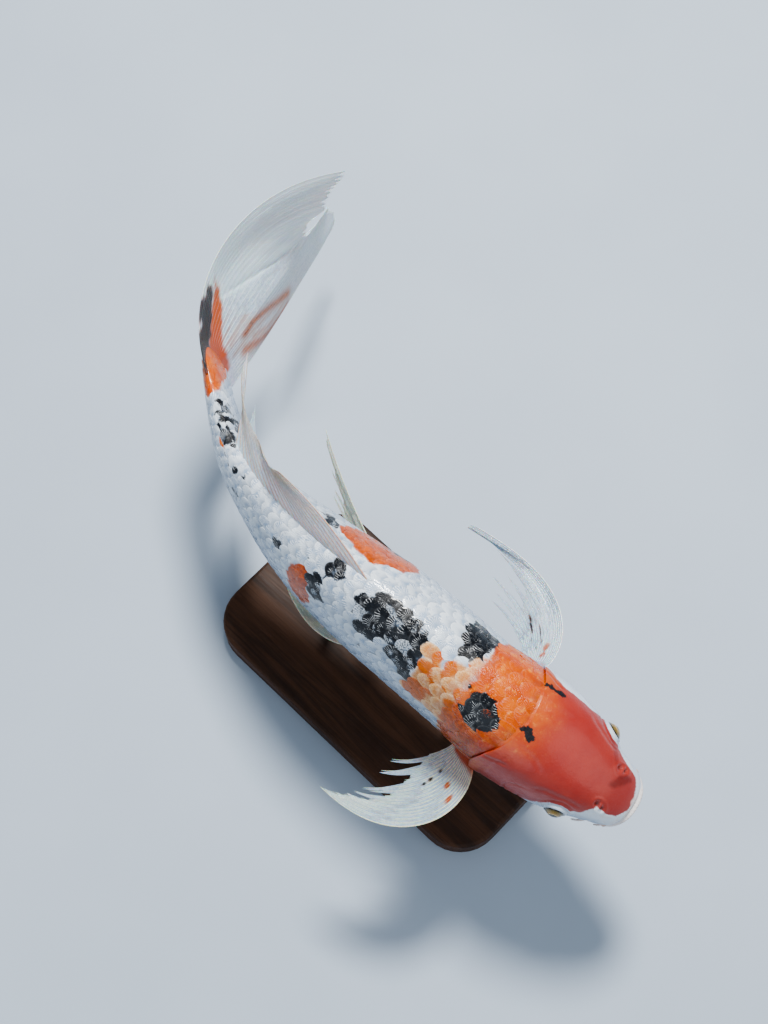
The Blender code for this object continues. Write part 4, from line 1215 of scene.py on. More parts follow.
# How each fin looks: number of rays, where the web ends along the rays (across, share), the rays whose strip of web
# runs on past it (ray number, share, half width in rays), how deep the web is scalloped, how much it waves in mm, and
# its marks (u, t, ru, rt, turn).
FIN_LOOKS = {
    "pectoral_fin_left": dict(
        rays=19, web=((0, 1.0), (0.22, 0.99), (0.30, 0.90), (0.33, 0.72), (0.40, 0.67), (0.54, 0.61), (0.70, 0.58),
                      (0.84, 0.555), (1, 0.56)),
        free=((7, 0.95, 0.8), (10, 0.86, 0.7), (13, 0.99, 0.8), (15, 0.92, 0.7), (17, 0.98, 0.7)), scallop=0.010,
        wave=1.3, fleshy=1.9,
        sumi=((0.60, 0.46, 0.030, 0.036, 0), (0.635, 0.40, 0.030, 0.040, 0), (0.64, 0.36, 0.028, 0.026, 0),
              (0.45, 0.32, 0.014, 0.050, 0), (0.70, 0.29, 0.022, 0.016, 0), (0.43, 0.24, 0.018, 0.016, 0),
              (0.55, 0.20, 0.022, 0.016, 0)),
        hi=((0.33, 0.18, 0.06, 0.022, 0), (0.35, 0.13, 0.06, 0.018, 0), (0.5, 0.03, 0.6, 0.03, 0)),
    ),
    "pectoral_fin_right": dict(
        rays=19, web=((0, 1.0), (0.18, 0.99), (0.26, 0.94), (0.36, 0.86), (0.44, 0.78), (0.58, 0.70), (0.69, 0.655),
                      (0.78, 0.585), (0.85, 0.54), (0.93, 0.49), (1, 0.46)),
        free=((5, 0.97, 0.8), (8, 0.97, 0.8), (11, 0.90, 0.7), (12, 0.98, 0.7), (15, 0.94, 0.8), (17, 0.95, 0.6)),
        scallop=0.010, wave=1.3, fleshy=2.2,
        sumi=((0.67, 0.29, 0.026, 0.020, 0), (0.64, 0.39, 0.030, 0.024, 0), (0.62, 0.45, 0.022, 0.020, 0)),
        hi=((0.39, 0.28, 0.05, 0.026, 0), (0.17, 0.30, 0.045, 0.030, 0), (0.3, 0.03, 0.9, 0.07, 0)),
    ),
    "pelvic_fin_left": dict(
        rays=10, web=((0, 1.0), (0.12, 0.98), (0.30, 0.90), (0.45, 0.82), (0.6, 0.78), (1, 0.8)),
        free=((4, 0.97, 0.7), (6, 0.93, 0.7), (8, 0.98, 0.6)), scallop=0.016, wave=0.8, fleshy=1.2, sumi=(), hi=(),
    ),
    "pelvic_fin_right": dict(
        rays=10, web=((0, 1.0), (0.3, 0.97), (0.6, 0.92), (1, 0.9)), free=(), scallop=0.02,
        wave=0.7, fleshy=1.2, sumi=(), hi=(), cream=0.7,
    ),
    "dorsal_fin": dict(
        rays=21, web=((0, 0.98), (0.2, 0.93), (0.44, 0.82), (0.6, 0.76), (0.72, 0.79), (0.85, 0.88), (1, 1.0)),
        free=((3, 0.97, 0.7),), scallop=0.014, wave=0.5, fleshy=0.6, sumi=(), hi=(), pink=0.6,
    ),
    "anal_fin": dict(
        rays=9, web=((0, 0.99), (0.5, 0.93), (1, 0.95)), free=((2, 0.99, 0.7),), scallop=0.02, wave=0.5, fleshy=0.8,
        sumi=(), hi=(),
    ),
    "caudal_fin": dict(
        rays=29, web=((0, 1.0), (0.2, 0.985), (0.4, 0.97), (0.5, 0.955), (0.6, 0.97), (0.8, 0.985), (1, 1.0)),
        free=((5, 1.0, 0.7), (11, 0.99, 0.7), (20, 0.99, 0.7)), scallop=0.010, wave=2.6, fleshy=1.2, sumi=(), hi=(),
    ),
}
# The tail fin's markings as outlines over (across, along): black on the upper edge, orange beside it, brown streaks below.
TAIL_SUMI = ((0.97, 0.325), (0.90, 0.325), (0.83, 0.31), (0.80, 0.27), (0.77, 0.23), (0.74, 0.20), (0.745, 0.16),
             (0.70, 0.12), (0.75, 0.08), (0.70, 0.05), (0.64, 0.01), (1.04, 0.0), (1.04, 0.15), (0.97, 0.158),
             (0.94, 0.172), (1.04, 0.19), (1.04, 0.26), (0.94, 0.28))
TAIL_HI = ((0.90, 0.355), (0.77, 0.335), (0.70, 0.30), (0.64, 0.25), (0.585, 0.18), (0.49, 0.12), (0.36, 0.075),
           (0.20, 0.06), (0.14, -0.03), (1.04, -0.03), (1.04, 0.02), (0.72, 0.05), (0.76, 0.08), (0.72, 0.12),
           (0.75, 0.16), (0.75, 0.20), (0.80, 0.27), (0.84, 0.32))
TAIL_STREAKS = (
    (((0.15, 0.53), (0.22, 0.44), (0.31, 0.34), (0.35, 0.28), (0.33, 0.21)), 0.026, 1.0),
    (((0.03, 0.52), (0.01, 0.46), (0.03, 0.35), (0.12, 0.24), (0.18, 0.17)), 0.028, 0.9),
    (((0.15, 0.53), (0.10, 0.44), (0.12, 0.34), (0.20, 0.24)), 0.016, 0.6),
    (((0.20, 0.40), (0.24, 0.30), (0.27, 0.20), (0.26, 0.10)), 0.012, 0.5),
    (((0.45, 0.33), (0.44, 0.22), (0.40, 0.12)), 0.012, 0.45),
)
# The upper lobe's fold: across at each share of the rays' length.
TAIL_CREASE = ((0.0, 0.26, 0.33, 0.43, 0.54, 0.66, 0.76, 0.85, 1.0), (0.84, 0.79, 0.69, 0.62, 0.57, 0.53, 0.48, 0.44, 0.42))


def in_outline(outline, u, t):
    corner = np.array(outline)
    best, within = np.full(u.shape, 1e9), np.zeros(u.shape, bool)
    for (x0, y0), (x1, y1) in zip(corner, np.roll(corner, -1, axis=0)):
        dx, dy = x1 - x0, y1 - y0
        k = np.clip(((u - x0) * dx + (t - y0) * dy) / (dx * dx + dy * dy), 0, 1)
        best = np.minimum(best, np.hypot(u - x0 - k * dx, t - y0 - k * dy))
        crosses = (y0 > t) != (y1 > t)
        within ^= crosses & (u < x0 + (t - y0) / (dy if abs(dy) > 1e-9 else 1e-9) * dx)
    return np.where(within, best, -best)


def fin_marks(name, looks, u, t, points):
    shake = 0.012 * rough_mottle(points, 0.004, 91)
    sumi, hi, painted_light, brown = np.zeros(u.shape), np.zeros(u.shape), np.zeros(u.shape), np.zeros(u.shape)
    for marks, which in ((looks["sumi"], sumi), (looks["hi"], hi)):
        for cu, ct, ru, rt, _ in marks:
            d = np.hypot((u - cu) / ru, (t - ct) / rt)
            np.maximum(which, ease(1.25 - d + shake * 12, 0, 0.5), out=which)
    if name == "caudal_fin":
        sumi = ease(in_outline(TAIL_SUMI, u, t) + shake, -0.006, 0.010)
        hi = ease(in_outline(TAIL_HI, u, t) + shake, -0.012, 0.016)
        for line, wide, strength in TAIL_STREAKS:
            nearest = np.full(u.shape, 1e9)
            for (u0, t0), (u1, t1) in zip(line, line[1:]):
                du, dt = (u1 - u0) * 0.45, t1 - t0
                k = np.clip(((u - u0) * 0.45 * du + (t - t0) * dt) / (du * du + dt * dt), 0, 1)
                nearest = np.minimum(nearest, np.hypot((u - u0) * 0.45 - k * du, t - t0 - k * dt))
            brown = np.maximum(brown, strength * bell((nearest + 0.3 * shake) / wide, 1.0))
        # Painted light: past its crease the upper lobe is painted lighter, as the side that faces the light, with a
        # painted highlight along the crease itself; the tail's outer half is also made a little lighter.
        crease = np.interp(t, *TAIL_CREASE)
        painted_light = ease(u - crease, -0.02, 0.05) * ease(t, 0.20, 0.36) * (0.72 + 0.2 * rough_mottle(points, 0.016, 95))
        painted_light = np.maximum(painted_light, bell((u - crease) / 0.016, 1) * ease(t, 0.22, 0.30))
        painted_light = np.clip(np.maximum(painted_light, 0.25 * ease(t, 0.5, 0.9)), 0, 1)
        # Dark gaps between the pale rays near the tail's root.
        brown = np.maximum(brown, 0.55 * ease(t, 0.02, 0.08) * (1 - ease(t, 0.16, 0.36)) * bell((u - 0.50) / 0.16, 1) * ease(np.sin(u * 88.0), 0.1, 0.8))
    return dict(hi=hi, sumi=sumi, painted_light=painted_light, brown=brown)


def ray_ends(looks):
    n = looks["rays"]
    at = np.linspace(0, 1, n)
    end = np.interp(at, *zip(*looks["web"])) + 0.004
    free = {}
    for k, far, _ in looks["free"]:
        if far > end[k]:
            end[k] = far
            free[k] = True
    return at, np.minimum(end, 1.0), free


def build_fin(name, web_material, ray_material, replaced):
    fin, looks = FINS[name], FIN_LOOKS[name]
    n = looks["rays"]
    at, ends, free = ray_ends(looks)
    fine_t = np.linspace(0, 1, 121)
    nu = (n - 1) * (8 if n > 20 else 12) + 1
    u = np.linspace(0, 1, nu)
    surface = fin_grid(fin, u, fine_t)
    normals = grid_normals(surface)
    # The web waves gently towards its edge, and the tail fin's upper lobe folds along a crease.
    U, T = u[:, None], fine_t[None, :]
    wave = looks["wave"] * ease(T, 0.25, 1.0) * (
        0.6 * np.sin(U * 9.0 + T * 4.0) + 0.4 * np.sin(U * 23.0 - T * 6.0 + 1.0)
    )
    if name == "caudal_fin":
        crease = np.interp(T, *TAIL_CREASE)
        wave = wave + 2.6 * ease(T, 0.22, 0.5) * np.exp(-np.abs(U - crease) / 0.05) * (1 - 0.5 * ease(T, 0.8, 1.0))
    surface = surface + normals * (wave * MM)[..., None]
    normals = grid_normals(surface)
    cell = (u * (n - 1)) % 1.0
    between = np.sin(np.pi * cell) ** 2
    edge = np.interp(u, *zip(*looks["web"])) - looks["scallop"] * between - 0.010 * (1 + np.sin(u * 61.0)) * between
    # Past its edge the web runs on as narrow strips along a few rays, each drawn out to a point.
    for k, far, half in looks["free"]:
        near = np.clip(1 - (np.abs(u - at[k]) * (n - 1) / half), 0, 1)
        edge = np.maximum(edge, np.where(near > 0, np.interp(at[k], *zip(*looks["web"])) + (far - np.interp(at[k], *zip(*looks["web"]))) * near**0.75, 0))
    nt = 72
    share = np.linspace(0, 1, nt) ** 0.9
    t = edge[:, None] * share[None, :]

    def on_fin(values, uu, tt):
        """Values of the fine grid at (uu, tt) pairs."""
        i = np.clip(uu * (nu - 1), 0, nu - 1.0001)
        j = np.clip(tt * 120, 0, 119.9999)
        i0, j0 = i.astype(int), j.astype(int)
        fi, fj = (i - i0)[..., None], (j - j0)[..., None]
        return (
            values[i0, j0] * (1 - fi) * (1 - fj) + values[np.minimum(i0 + 1, nu - 1), j0] * fi * (1 - fj)
            + values[i0, j0 + 1] * (1 - fi) * fj + values[np.minimum(i0 + 1, nu - 1), j0 + 1] * fi * fj
        )

    uu = np.broadcast_to(u[:, None], t.shape)
    middle = on_fin(surface, uu, t)
    normal = on_fin(normals, uu, t)
    normal /= np.maximum(np.linalg.norm(normal, axis=-1, keepdims=True), 1e-9)
    thick = 0.17 - 0.07 * share[None, :] + looks["fleshy"] * np.exp(-((t / 0.055) ** 2)) * (0.4 + 0.6 * np.sin(np.pi * np.clip(uu, 0.05, 0.95)))
    sag = 0.10 * between[:, None] * ease(t, 0.05, 0.2)
    upper, lower = middle + normal * ((thick - sag) * MM)[..., None], middle - normal * ((thick - sag) * MM)[..., None]
    marks = fin_marks(name, looks, uu, t, middle)
    rows, cols = t.shape
    points = np.concatenate([upper.reshape(-1, 3), lower.reshape(-1, 3)])
    top = grid_quads(rows, cols)
    foot = grid_quads(rows, cols, start=rows * cols)[:, ::-1]
    rim = rim_order(rows, cols)
    after = np.roll(rim, -1)
    wall = np.stack([rim, after, after + rows * cols, rim + rows * cols], -1)
    q0 = top[0]
    n_sample = np.cross(points[q0[1]] - points[q0[0]], points[q0[2]] - points[q0[0]])
    a_first = any(q[i] == rim[0] and q[(i + 1) % 4] == rim[1] for q in top for i in range(4) if rim[0] in q)
    if a_first:
        wall = wall[:, ::-1]
    quads = np.concatenate([top, foot, wall])
    if (n_sample * normal.reshape(-1, 3)[q0[0]]).sum() < 0:
        quads = quads[:, ::-1]
    both = lambda v: np.concatenate([v.ravel(), v.ravel()])
    attributes = {key: both(v) for key, v in marks.items()}
    attributes["across"] = both(uu)
    ub = np.stack([uu * 0.48 + 0.01, 0.01 + 0.98 * np.broadcast_to(share[None, :], t.shape)], -1).reshape(-1, 2)
    uv = np.concatenate([ub, ub + [0.5, 0.0]])
    web = make_piece(name + "_web", points, quads, None, web_material, attributes, uv)
    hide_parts(*replaced)

    # Rays: each is one rod that forks twice on its way out.
    paths = []
    gap = 1.0 / (n - 1)
    for k in range(n):
        far = ends[k]
        lone = k in free
        first, second = 0.34 + 0.10 * ((k * 7) % 5) / 5, 0.62 + 0.12 * ((k * 11) % 7) / 7
        if k == 0 or (k == n - 1 and name == "caudal_fin"):
            paths.append((k, at[k] + (0.002 if k == 0 else -0.002), 0.0, 0.0, far, 0.0, 0.0, 1.35, lone))
            continue
        last_reach = np.interp(at[k], *zip(*looks["web"]))
        first, second = first * last_reach, second * last_reach
        paths.append((k, at[k], 0.0, 0.0, first, 0.0, 0.0, 1.0, lone))
        for sign in (-1, 1):
            wide = 0.20 * gap
            paths.append((k, at[k], first - 0.01, sign * 0.012 * gap, second, sign * wide, 0.0, 0.72, lone))
            for fork in (-1, 1):
                reach = far if (not lone or (sign == 1 and fork == 1)) else min(far, last_reach + 0.01)
                paths.append((k, at[k], second - 0.01, sign * wide, reach, sign * wide + fork * 0.15 * gap, 0.0, 0.5, lone))
    all_points, all_quads, all_tris, all_u, all_t, all_along, all_uv = [], [], [], [], [], [], []
    sides = 6
    count = 0
    around = np.linspace(0, 2 * np.pi, sides, endpoint=False)
    length = np.linalg.norm(np.diff(surface, axis=1), axis=-1).sum(axis=1)
    for number, (k, base_u, t0, d0, t1, d1, _, thickness, lone) in enumerate(paths):
        if t1 - t0 < 0.01:
            continue
        steps = max(5, int(44 * (t1 - t0)))
        tt = np.linspace(t0, t1, steps)
        du = d0 + (d1 - d0) * ease(tt, t0, t1)
        ur = np.clip(base_u + du, 0.0, 1.0)
        c = on_fin(surface, ur, tt)
        nn = on_fin(normals, ur, tt)
        nn /= np.maximum(np.linalg.norm(nn, axis=-1, keepdims=True), 1e-9)
        ahead = np.gradient(c, axis=0)
        ahead /= np.maximum(np.linalg.norm(ahead, axis=-1, keepdims=True), 1e-9)
        across = np.cross(nn, ahead)
        half = (0.38 * thickness * (1 - 0.66 * tt / max(ends[k], 0.3)) + 0.06) * (1.25 if k == 0 else 1.0)
        flat = np.minimum(half * 0.80, 0.15 + 0.34 * (1 - tt)) + 0.05
        half = half * np.where(tt > t1 - 0.012, 0.45, 1.0)
        ring = (
            c[:, None] + across[:, None] * (half * MM)[:, None, None] * np.cos(around)[None, :, None]
            + nn[:, None] * (flat * MM)[:, None, None] * np.sin(around)[None, :, None]
        )
        all_points.append(ring.reshape(-1, 3))
        all_points.append(np.stack([c[0], c[-1] + ahead[-1] * 0.0002]))
        body = grid_quads(steps, sides, closed=True, start=count)
        j = np.arange(sides)
        jn = (j + 1) % sides
        hub = count + steps * sides
        front = np.stack([np.full(sides, hub), count + jn, count + j], -1)
        back = np.stack([np.full(sides, hub + 1), count + (steps - 1) * sides + j, count + (steps - 1) * sides + jn], -1)
        all_quads.append(body)
        all_tris.append(np.vstack([front, back]))
        all_u.append(np.concatenate([np.repeat(ur, sides), [ur[0], ur[-1]]]))
        all_t.append(np.concatenate([np.repeat(tt, sides), [tt[0], tt[-1]]]))
        run = tt * length[int(np.clip(base_u, 0, 1) * (nu - 1))]
        all_along.append(np.concatenate([np.repeat(run, sides), [run[0], run[-1]]]))
        strip = (number + 0.1 + 0.8 * np.arange(sides) / sides) / len(paths)
        block = np.stack(np.broadcast_arrays(strip[None, :], (0.02 + 0.96 * tt)[:, None]), -1).reshape(-1, 2)
        all_uv.append(np.vstack([block, block[:1], block[-1:]]))
        count += steps * sides + 2
    points = np.concatenate(all_points)
    quads, tris = np.concatenate(all_quads), np.concatenate(all_tris)
    # A ray's faces look out when its first ring's winding agrees with the direction that it runs in.
    q = quads[0]
    n0 = np.cross(points[q[1]] - points[q[0]], points[q[2]] - points[q[0]])
    first_centre = points[:sides].mean(axis=0)
    if (n0 * (points[q[0]] - first_centre)).sum() < 0:
        quads, tris = quads[:, ::-1], tris[:, ::-1]
    ru, rt = np.concatenate(all_u), np.concatenate(all_t)
    marks = fin_marks(name, looks, ru, rt, points)
    marks["along"] = np.concatenate(all_along)
    rays = make_piece(name + "_rays", points, quads, tris, ray_material, marks, np.concatenate(all_uv))
    return web, rays


# ---- eyes, barbels and stand -------------------------------------------------------------
def build_eye(side, hand, material):
    centre, axis = eye_frame(side)
    _, back, _ = spine(np.array(EYE_AT))
    ahead = -back - (-back @ axis) * axis
    ahead /= np.linalg.norm(ahead)
    other = np.cross(axis, ahead)
    rings, cols = 40, 56
    phi = np.linspace(0.02, np.pi - 0.05, rings)
    turn = np.linspace(0, 2 * np.pi, cols, endpoint=False)
    P, W = np.meshgrid(phi, turn, indexing="ij")
    out = 8.6 * np.sin(P)
    # The clear front bulges a little over the pupil, and the iris round it is drawn in.
    r = 8.6 + np.where(P < np.pi / 2, 0.30 * bell(out, 3.6) - 0.12 * bell(out - 5.2, 1.3), 0)
    # A carp's pupil has a small notch towards the snout.
    notch = 0.10 * np.maximum(np.cos(W), 0) ** 6
    points = (
        centre
        + axis * (r * np.cos(P) * MM)[..., None]
        + ahead * (r * np.sin(P) * np.cos(W) * MM)[..., None]
        + other * (r * np.sin(P) * np.sin(W) * MM)[..., None]
    )
    rad = np.where(P < np.pi / 2, out / 6.6, 1.2) - notch * bell(out / 6.6 - 0.42, 0.2)
    flat = points.reshape(-1, 3)
    front, rear = centre + axis * 8.9 * MM, centre - axis * 8.6 * MM
    quads = grid_quads(rings, cols, closed=True)
    j = np.arange(cols)
    k = (j + 1) % cols
    caps = np.vstack([
        np.stack([np.full(cols, rings * cols), k, j], -1),
        np.stack([np.full(cols, rings * cols + 1), (rings - 1) * cols + j, (rings - 1) * cols + k], -1),
    ])
    turned = outward(flat, quads, (flat - centre)[quads[:, 0]])
    if not np.array_equal(turned, quads):
        caps = caps[:, ::-1]
    attributes = dict(
        rad=np.concatenate([rad.ravel(), [0.0, 1.2]]), turn=np.concatenate([W.ravel(), [0.0, 0.0]])
    )
    disc = np.stack([0.5 + 0.49 * P / np.pi * np.cos(W), 0.5 + 0.49 * P / np.pi * np.sin(W)], -1).reshape(-1, 2)
    uv = np.vstack([disc, [[0.5, 0.5], [0.99, 0.5]]])
    eye = make_piece("koi_eye_" + hand, np.vstack([flat, front, rear]), turned, caps, material, attributes, uv)
    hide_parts("eye_" + hand)
    return eye


def tube_rings(path, radii, sides, squash=1.0):
    path = np.asarray(path)
    ahead = np.gradient(path, axis=0)
    ahead /= np.linalg.norm(ahead, axis=-1, keepdims=True)
    side = np.cross(ahead, RISE)
    side /= np.linalg.norm(side, axis=-1, keepdims=True)
    top = np.cross(side, ahead)
    a = np.linspace(0, 2 * np.pi, sides, endpoint=False)
    return (
        path[:, None]
        + side[:, None] * radii[:, None, None] * np.cos(a)[None, :, None]
        + top[:, None] * (radii * squash)[:, None, None] * np.sin(a)[None, :, None]
    )


def build_barbels(material):
    points, quads, tris, tip_share, uvs = [], [], [], [], []
    count, sides = 0, 12
    for index, (place, s, angle, length, radius) in enumerate(BARBELS):
        for side in (1, -1):
            a = math.radians(angle) * side
            root, normal = skin(np.array([s]), np.array([a]))[0], skin_normal(np.array([s]), np.array([a]))[0]
            _, back, left = spine(np.array(s))
            out = left * side
            steps = 30
            f = np.linspace(0, 1, steps)
            p = root - normal * 0.0012
            path = []
            for value in f:
                path.append(p.copy())
                d = out * (0.45 - 0.35 * value) + back * (0.35 + 0.55 * value) - RISE * (0.95 - 0.10 * value)
                p = p + d / np.linalg.norm(d) * (length + 0.0012) / (steps - 1)
            path = np.array(path)
            path = path + RISE * (0.35 * MM * np.sin(f * 5 + index))[:, None] * f[:, None]
            radii = radius * (1.75 * bell(f / 0.13, 1) + 1.0 - 0.45 * f) * np.where(f > 0.97, 0.6, 1.0)
            radii = radii * (1 + 0.04 * np.sin(f * 60))
            ring = tube_rings(path, radii, sides)
            points += [ring.reshape(-1, 3), path[:1], path[-1:] + (path[-1:] - path[-2:-1]) * 0.4]
            quads.append(grid_quads(steps, sides, closed=True, start=count))
            j = np.arange(sides)
            k = (j + 1) % sides
            hub = count + steps * sides
            tris += [
                np.stack([np.full(sides, hub), count + k, count + j], -1),
                np.stack([np.full(sides, hub + 1), count + (steps - 1) * sides + j, count + (steps - 1) * sides + k], -1),
            ]
            tip_share.append(np.concatenate([np.repeat(f, sides), [0, 1]]))
            number = index * 2 + (side > 0)
            block = np.stack(
                np.broadcast_arrays(((number + 0.1 + 0.8 * np.arange(sides) / sides) / 4)[None], (0.02 + 0.96 * f)[:, None]), -1
            ).reshape(-1, 2)
            uvs += [block, block[:1], block[-1:]]
            count += steps * sides + 2
    points, quads, tris = np.vstack(points), np.vstack(quads), np.vstack(tris)
    q = quads[0]
    n0 = np.cross(points[q[1]] - points[q[0]], points[q[2]] - points[q[0]])
    if (n0 * (points[q[0]] - points[:sides].mean(axis=0))).sum() < 0:
        quads, tris = quads[:, ::-1], tris[:, ::-1]
    made = make_piece("koi_barbels", points, quads, tris, material, dict(tip=np.concatenate(tip_share)), np.vstack(uvs))
    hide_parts("barbel_front_left", "barbel_front_right", "barbel_rear_left", "barbel_rear_right")
    return made


def barbel_finish():
    f = Finish("koi_barbel", Roughness=0.38, Coat_Weight=0.4, Coat_Roughness=0.12)
    fine = f.noise(1200, 3, 0.6)
    base = f.mix(f.attribute("tip"), linear((214, 190, 178)), linear((228, 220, 214)))
    f.colour(f.mix(f.span(fine, 0.3, 0.75, 0, 0.5), base, linear((196, 160, 146))))
    f.normal(f.bump(fine, 0.3, 0.0002))
    return f.material


def belly_level(x, y, s, angle):
    """Height of the underside straight above points of the floor, found by stepping over the skin towards each."""
    want = np.stack([x, y], -1)
    for _ in range(12):
        here = skin(s, angle)[..., :2]
        ds = (skin(s + 1e-4, angle)[..., :2] - here) / 1e-4
        da = (skin(s, angle + 1e-3)[..., :2] - here) / 1e-3
        miss = want - here
        area = ds[..., 0] * da[..., 1] - ds[..., 1] * da[..., 0]
        area = np.where(np.abs(area) < 1e-6, 1e-6, area)
        s = s + np.clip((miss[..., 0] * da[..., 1] - miss[..., 1] * da[..., 0]) / area, -0.01, 0.01)
        angle = angle + np.clip((ds[..., 0] * miss[..., 1] - ds[..., 1] * miss[..., 0]) / area, -0.3, 0.3)
    return skin(s, angle)[..., 2]


def build_pads(material):
    """A soft cup on each rod, whose top follows the belly."""
    pieces = []
    for name, s in (("front", 0.140), ("rear", 0.250)):
        low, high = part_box("stand_rod_" + name)
        cx, cy = (low.x + high.x) / 2, (low.y + high.y) / 2
        centre, back, left = spine(np.array(s))
        sides = 40
        a = np.linspace(0, 2 * np.pi, sides, endpoint=False)
        rings = []
        profile = ((0.0, 0.0042, -11.0), (0.0, 0.0048, -10.2), (0.0, 0.0052, -8.4), (0.0, 0.0064, -5.6), (1.0, 0.0078, -1.5), (1.0, 0.0078, -0.9), (1.0, 0.0070, -0.5), (1.0, 0.0050, -0.45), (1.0, 0.0020, -0.45))
        for follow, radius, up in profile:
            x, y = cx + radius * np.cos(a), cy + radius * np.sin(a)
            along = (x - centre[0]) * back[0] + (y - centre[1]) * back[1]
            aside = (x - centre[0]) * left[0] + (y - centre[1]) * left[1]
            under = belly_level(x, y, s + along, np.pi - aside / 0.05)
            belly = float(belly_level(np.array([cx]), np.array([cy]), np.array([s]), np.array([np.pi]))[0])
            rings.append(np.stack([x, y, np.where(follow, under, belly) + up * MM], -1))
        rings = np.array(rings)
        hub_low = np.array([cx, cy, rings[0][:, 2].mean()])
        hub_high = np.array([cx, cy, rings[-1][:, 2].mean()])
        n = len(rings)
        points = np.vstack([rings.reshape(-1, 3), hub_low, hub_high])
        quads = grid_quads(n, sides, closed=True)
        j = np.arange(sides)
        k = (j + 1) % sides
        tris = np.vstack([
            np.stack([np.full(sides, n * sides), k, j], -1),
            np.stack([np.full(sides, n * sides + 1), (n - 1) * sides + j, (n - 1) * sides + k], -1),
        ])
        out = points[quads[:, 0]] - np.array([cx, cy, 0])
        out[:, 2] = 0
        turned = outward(points, quads, out)
        if not np.array_equal(turned, quads):
            tris = tris[:, ::-1]
        pad = make_piece("stand_pad_" + name, points, turned, tris, material, sharp=40)
        pieces.append(pad)
    return pieces


def build_collars(material):
    """A turned steel collar round each rod's foot."""
    pieces = []
    for name in ("front", "rear"):
        low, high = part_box("stand_rod_" + name)
        base_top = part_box("stand_base")[1].z
        cx, cy = (low.x + high.x) / 2, (low.y + high.y) / 2
        profile = ((3.56, 0.05), (8.6, 0.05), (9.0, 0.35), (9.0, 1.15), (8.7, 1.5), (6.4, 1.6), (5.6, 2.2), (5.3, 3.6), (5.0, 4.0), (4.0, 4.1), (3.56, 3.9))
        sides = 48
        a = np.linspace(0, 2 * np.pi, sides, endpoint=False)
        points = np.array([
            [cx + r * MM * math.cos(t), cy + r * MM * math.sin(t), base_top + z * MM] for r, z in profile for t in a
        ])
        quads = grid_quads(len(profile), sides, closed=True)
        j = np.arange(sides)
        k = (j + 1) % sides
        last = (len(profile) - 1) * sides
        quads = np.vstack([quads, np.stack([last + j, last + k, k, j], -1)])
        out = points[quads[:, 0]] - np.array([cx, cy, base_top + 0.002])
        # Only the outer wall tells which way the faces look.
        wall = slice(2 * sides, 4 * sides)
        p = points
        n = np.cross(p[quads[wall, 1]] - p[quads[wall, 0]], p[quads[wall, 2]] - p[quads[wall, 0]])
        if (n * out[wall]).sum() < 0:
            quads = quads[:, ::-1]
        collar = make_piece("stand_collar_" + name, points, quads, None, material, sharp=35)
        pieces.append(collar)
    return pieces


# ---- the stage --------------------------------------------------------------------------
TARGET = Vector((-0.0019, 0.0219, 0.150))
AZIMUTH, ELEVATION, DISTANCE = math.radians(-46), math.radians(70), 1.25


def lamp(name, place, aim, size, power, tint=(1, 1, 1)):
    data = bpy.data.lights.new(name, "AREA")
    data.shape = "DISK"
    data.size = size
    data.energy = power
    data.color = tint
    made = bpy.data.objects.new(name, data)
    made.location = place
    made.rotation_euler = (Vector(aim) - Vector(place)).to_track_quat("-Z", "Y").to_euler()
    bpy.context.scene.collection.objects.link(made)


def build_stage():
    mesh = bpy.data.meshes.new("floor")
    mesh.from_pydata([(-6, -6, 0), (6, -6, 0), (6, 6, 0), (-6, 6, 0)], [], [(0, 1, 2, 3)])
    floor = bpy.data.objects.new("floor", mesh)
    floor.location.z = -0.0002
    bpy.context.scene.collection.objects.link(floor)
    mesh.materials.append(floor_finish())
    world = bpy.data.worlds.new("studio")
    world.use_nodes = True
    world.node_tree.nodes["Background"].inputs["Color"].default_value = (0.80, 0.89, 1.0, 1.0)
    world.node_tree.nodes["Background"].inputs["Strength"].default_value = 0.36
    bpy.context.scene.world = world
    lamp("key", (0.62, 0.42, 1.85), (0, 0, 0.12), 0.42, 54, (1.0, 0.985, 0.95))
    lamp("fill", (-1.6, -0.5, 1.2), (0, 0, 0.12), 1.6, 8, (0.78, 0.89, 1.0))
    lamp("front", (0.4, -1.7, 1.3), (0, -0.1, 0.12), 1.8, 8)
    bpy.context.scene.view_settings.look = "AgX - Medium High Contrast"
    camera = bpy.data.cameras.new("camera")
    camera.sensor_width = camera.sensor_height = 36.0
    camera.lens = 1923.08 / 1024 * 36.0
    camera.clip_end = 50
    made = bpy.data.objects.new("camera", camera)
    offset = Vector((
        math.sin(AZIMUTH) * math.cos(ELEVATION), -math.cos(AZIMUTH) * math.cos(ELEVATION), math.sin(ELEVATION)
    ))
    made.location = TARGET + offset * DISTANCE
    made.rotation_euler = (-offset).to_track_quat("-Z", "Y").to_euler()
    bpy.context.scene.collection.objects.link(made)
    bpy.context.scene.camera = made


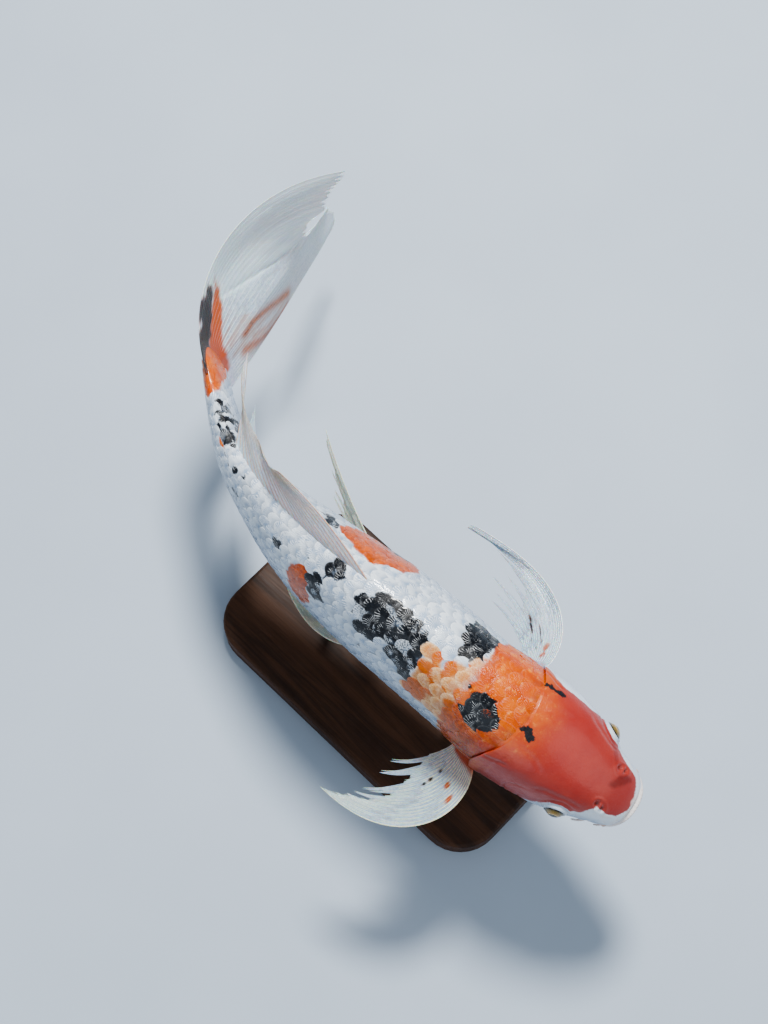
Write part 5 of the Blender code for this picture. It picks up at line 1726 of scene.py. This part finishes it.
# ---- put it together ---------------------------------------------------------------------
def main():
    build_stage()
    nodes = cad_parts
    pieces = []
    body = build_skin(skin_finish())
    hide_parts("head", "gill_cover_left", "gill_cover_right", "upper_lip", "lower_lip", "trunk", "tail")
    pieces.append(body)
    for piece in build_scales(scale_finish()):
        pieces.append(piece)
    grey_web = web_finish("fin_web_grey", linear((196, 205, 218)), linear((156, 170, 190)), 0.72)
    pale_web = web_finish("fin_web_pale", linear((206, 212, 222)), linear((164, 176, 196)), 0.93)
    pink_web = web_finish("fin_web_pink", linear((230, 228, 234)), linear((200, 202, 218)), 0.80)
    cream_web = web_finish("fin_web_cream", linear((242, 238, 216)), linear((222, 218, 196)), 0.58)
    pale_ray = ray_finish("fin_ray_pale", linear((226, 228, 226)), linear((190, 198, 208)))
    pink_ray = ray_finish("fin_ray_pink", linear((218, 184, 164)), linear((178, 140, 126)))
    cream_ray = ray_finish("fin_ray_cream", linear((232, 226, 202)), linear((200, 196, 176)))
    kinds = {
        "pectoral_fin_left": (grey_web, pale_ray), "pectoral_fin_right": (grey_web, cream_ray),
        "pelvic_fin_left": (cream_web, cream_ray), "pelvic_fin_right": (cream_web, cream_ray),
        "dorsal_fin": (pink_web, pink_ray), "anal_fin": (grey_web, pale_ray), "caudal_fin": (pale_web, pale_ray),
    }
    for name, (web_material, ray_material) in kinds.items():
        replaced = ("caudal_fin_upper", "caudal_fin_lower") if name == "caudal_fin" else (name,)
        for piece in build_fin(name, web_material, ray_material, replaced):
            pieces.append(piece)
    eye_material = eye_finish()
    for side, hand in ((1, "left"), (-1, "right")):
        pieces.append(build_eye(side, hand, eye_material))
    pieces.append(build_barbels(barbel_finish()))
    steel = steel_finish()
    pieces += build_pads(pad_finish())
    pieces += build_collars(steel)
    for piece in pieces:
        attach(piece, "root")
    wood = wood_finish()
    for name, material in (("stand_base", wood), ("stand_rod_front", steel), ("stand_rod_rear", steel)):
        for slot in nodes[name].material_slots:
            slot.material = material
    print("triangles", sum(sum(len(p.vertices) - 2 for p in piece.data.polygons) for piece in pieces))


main()
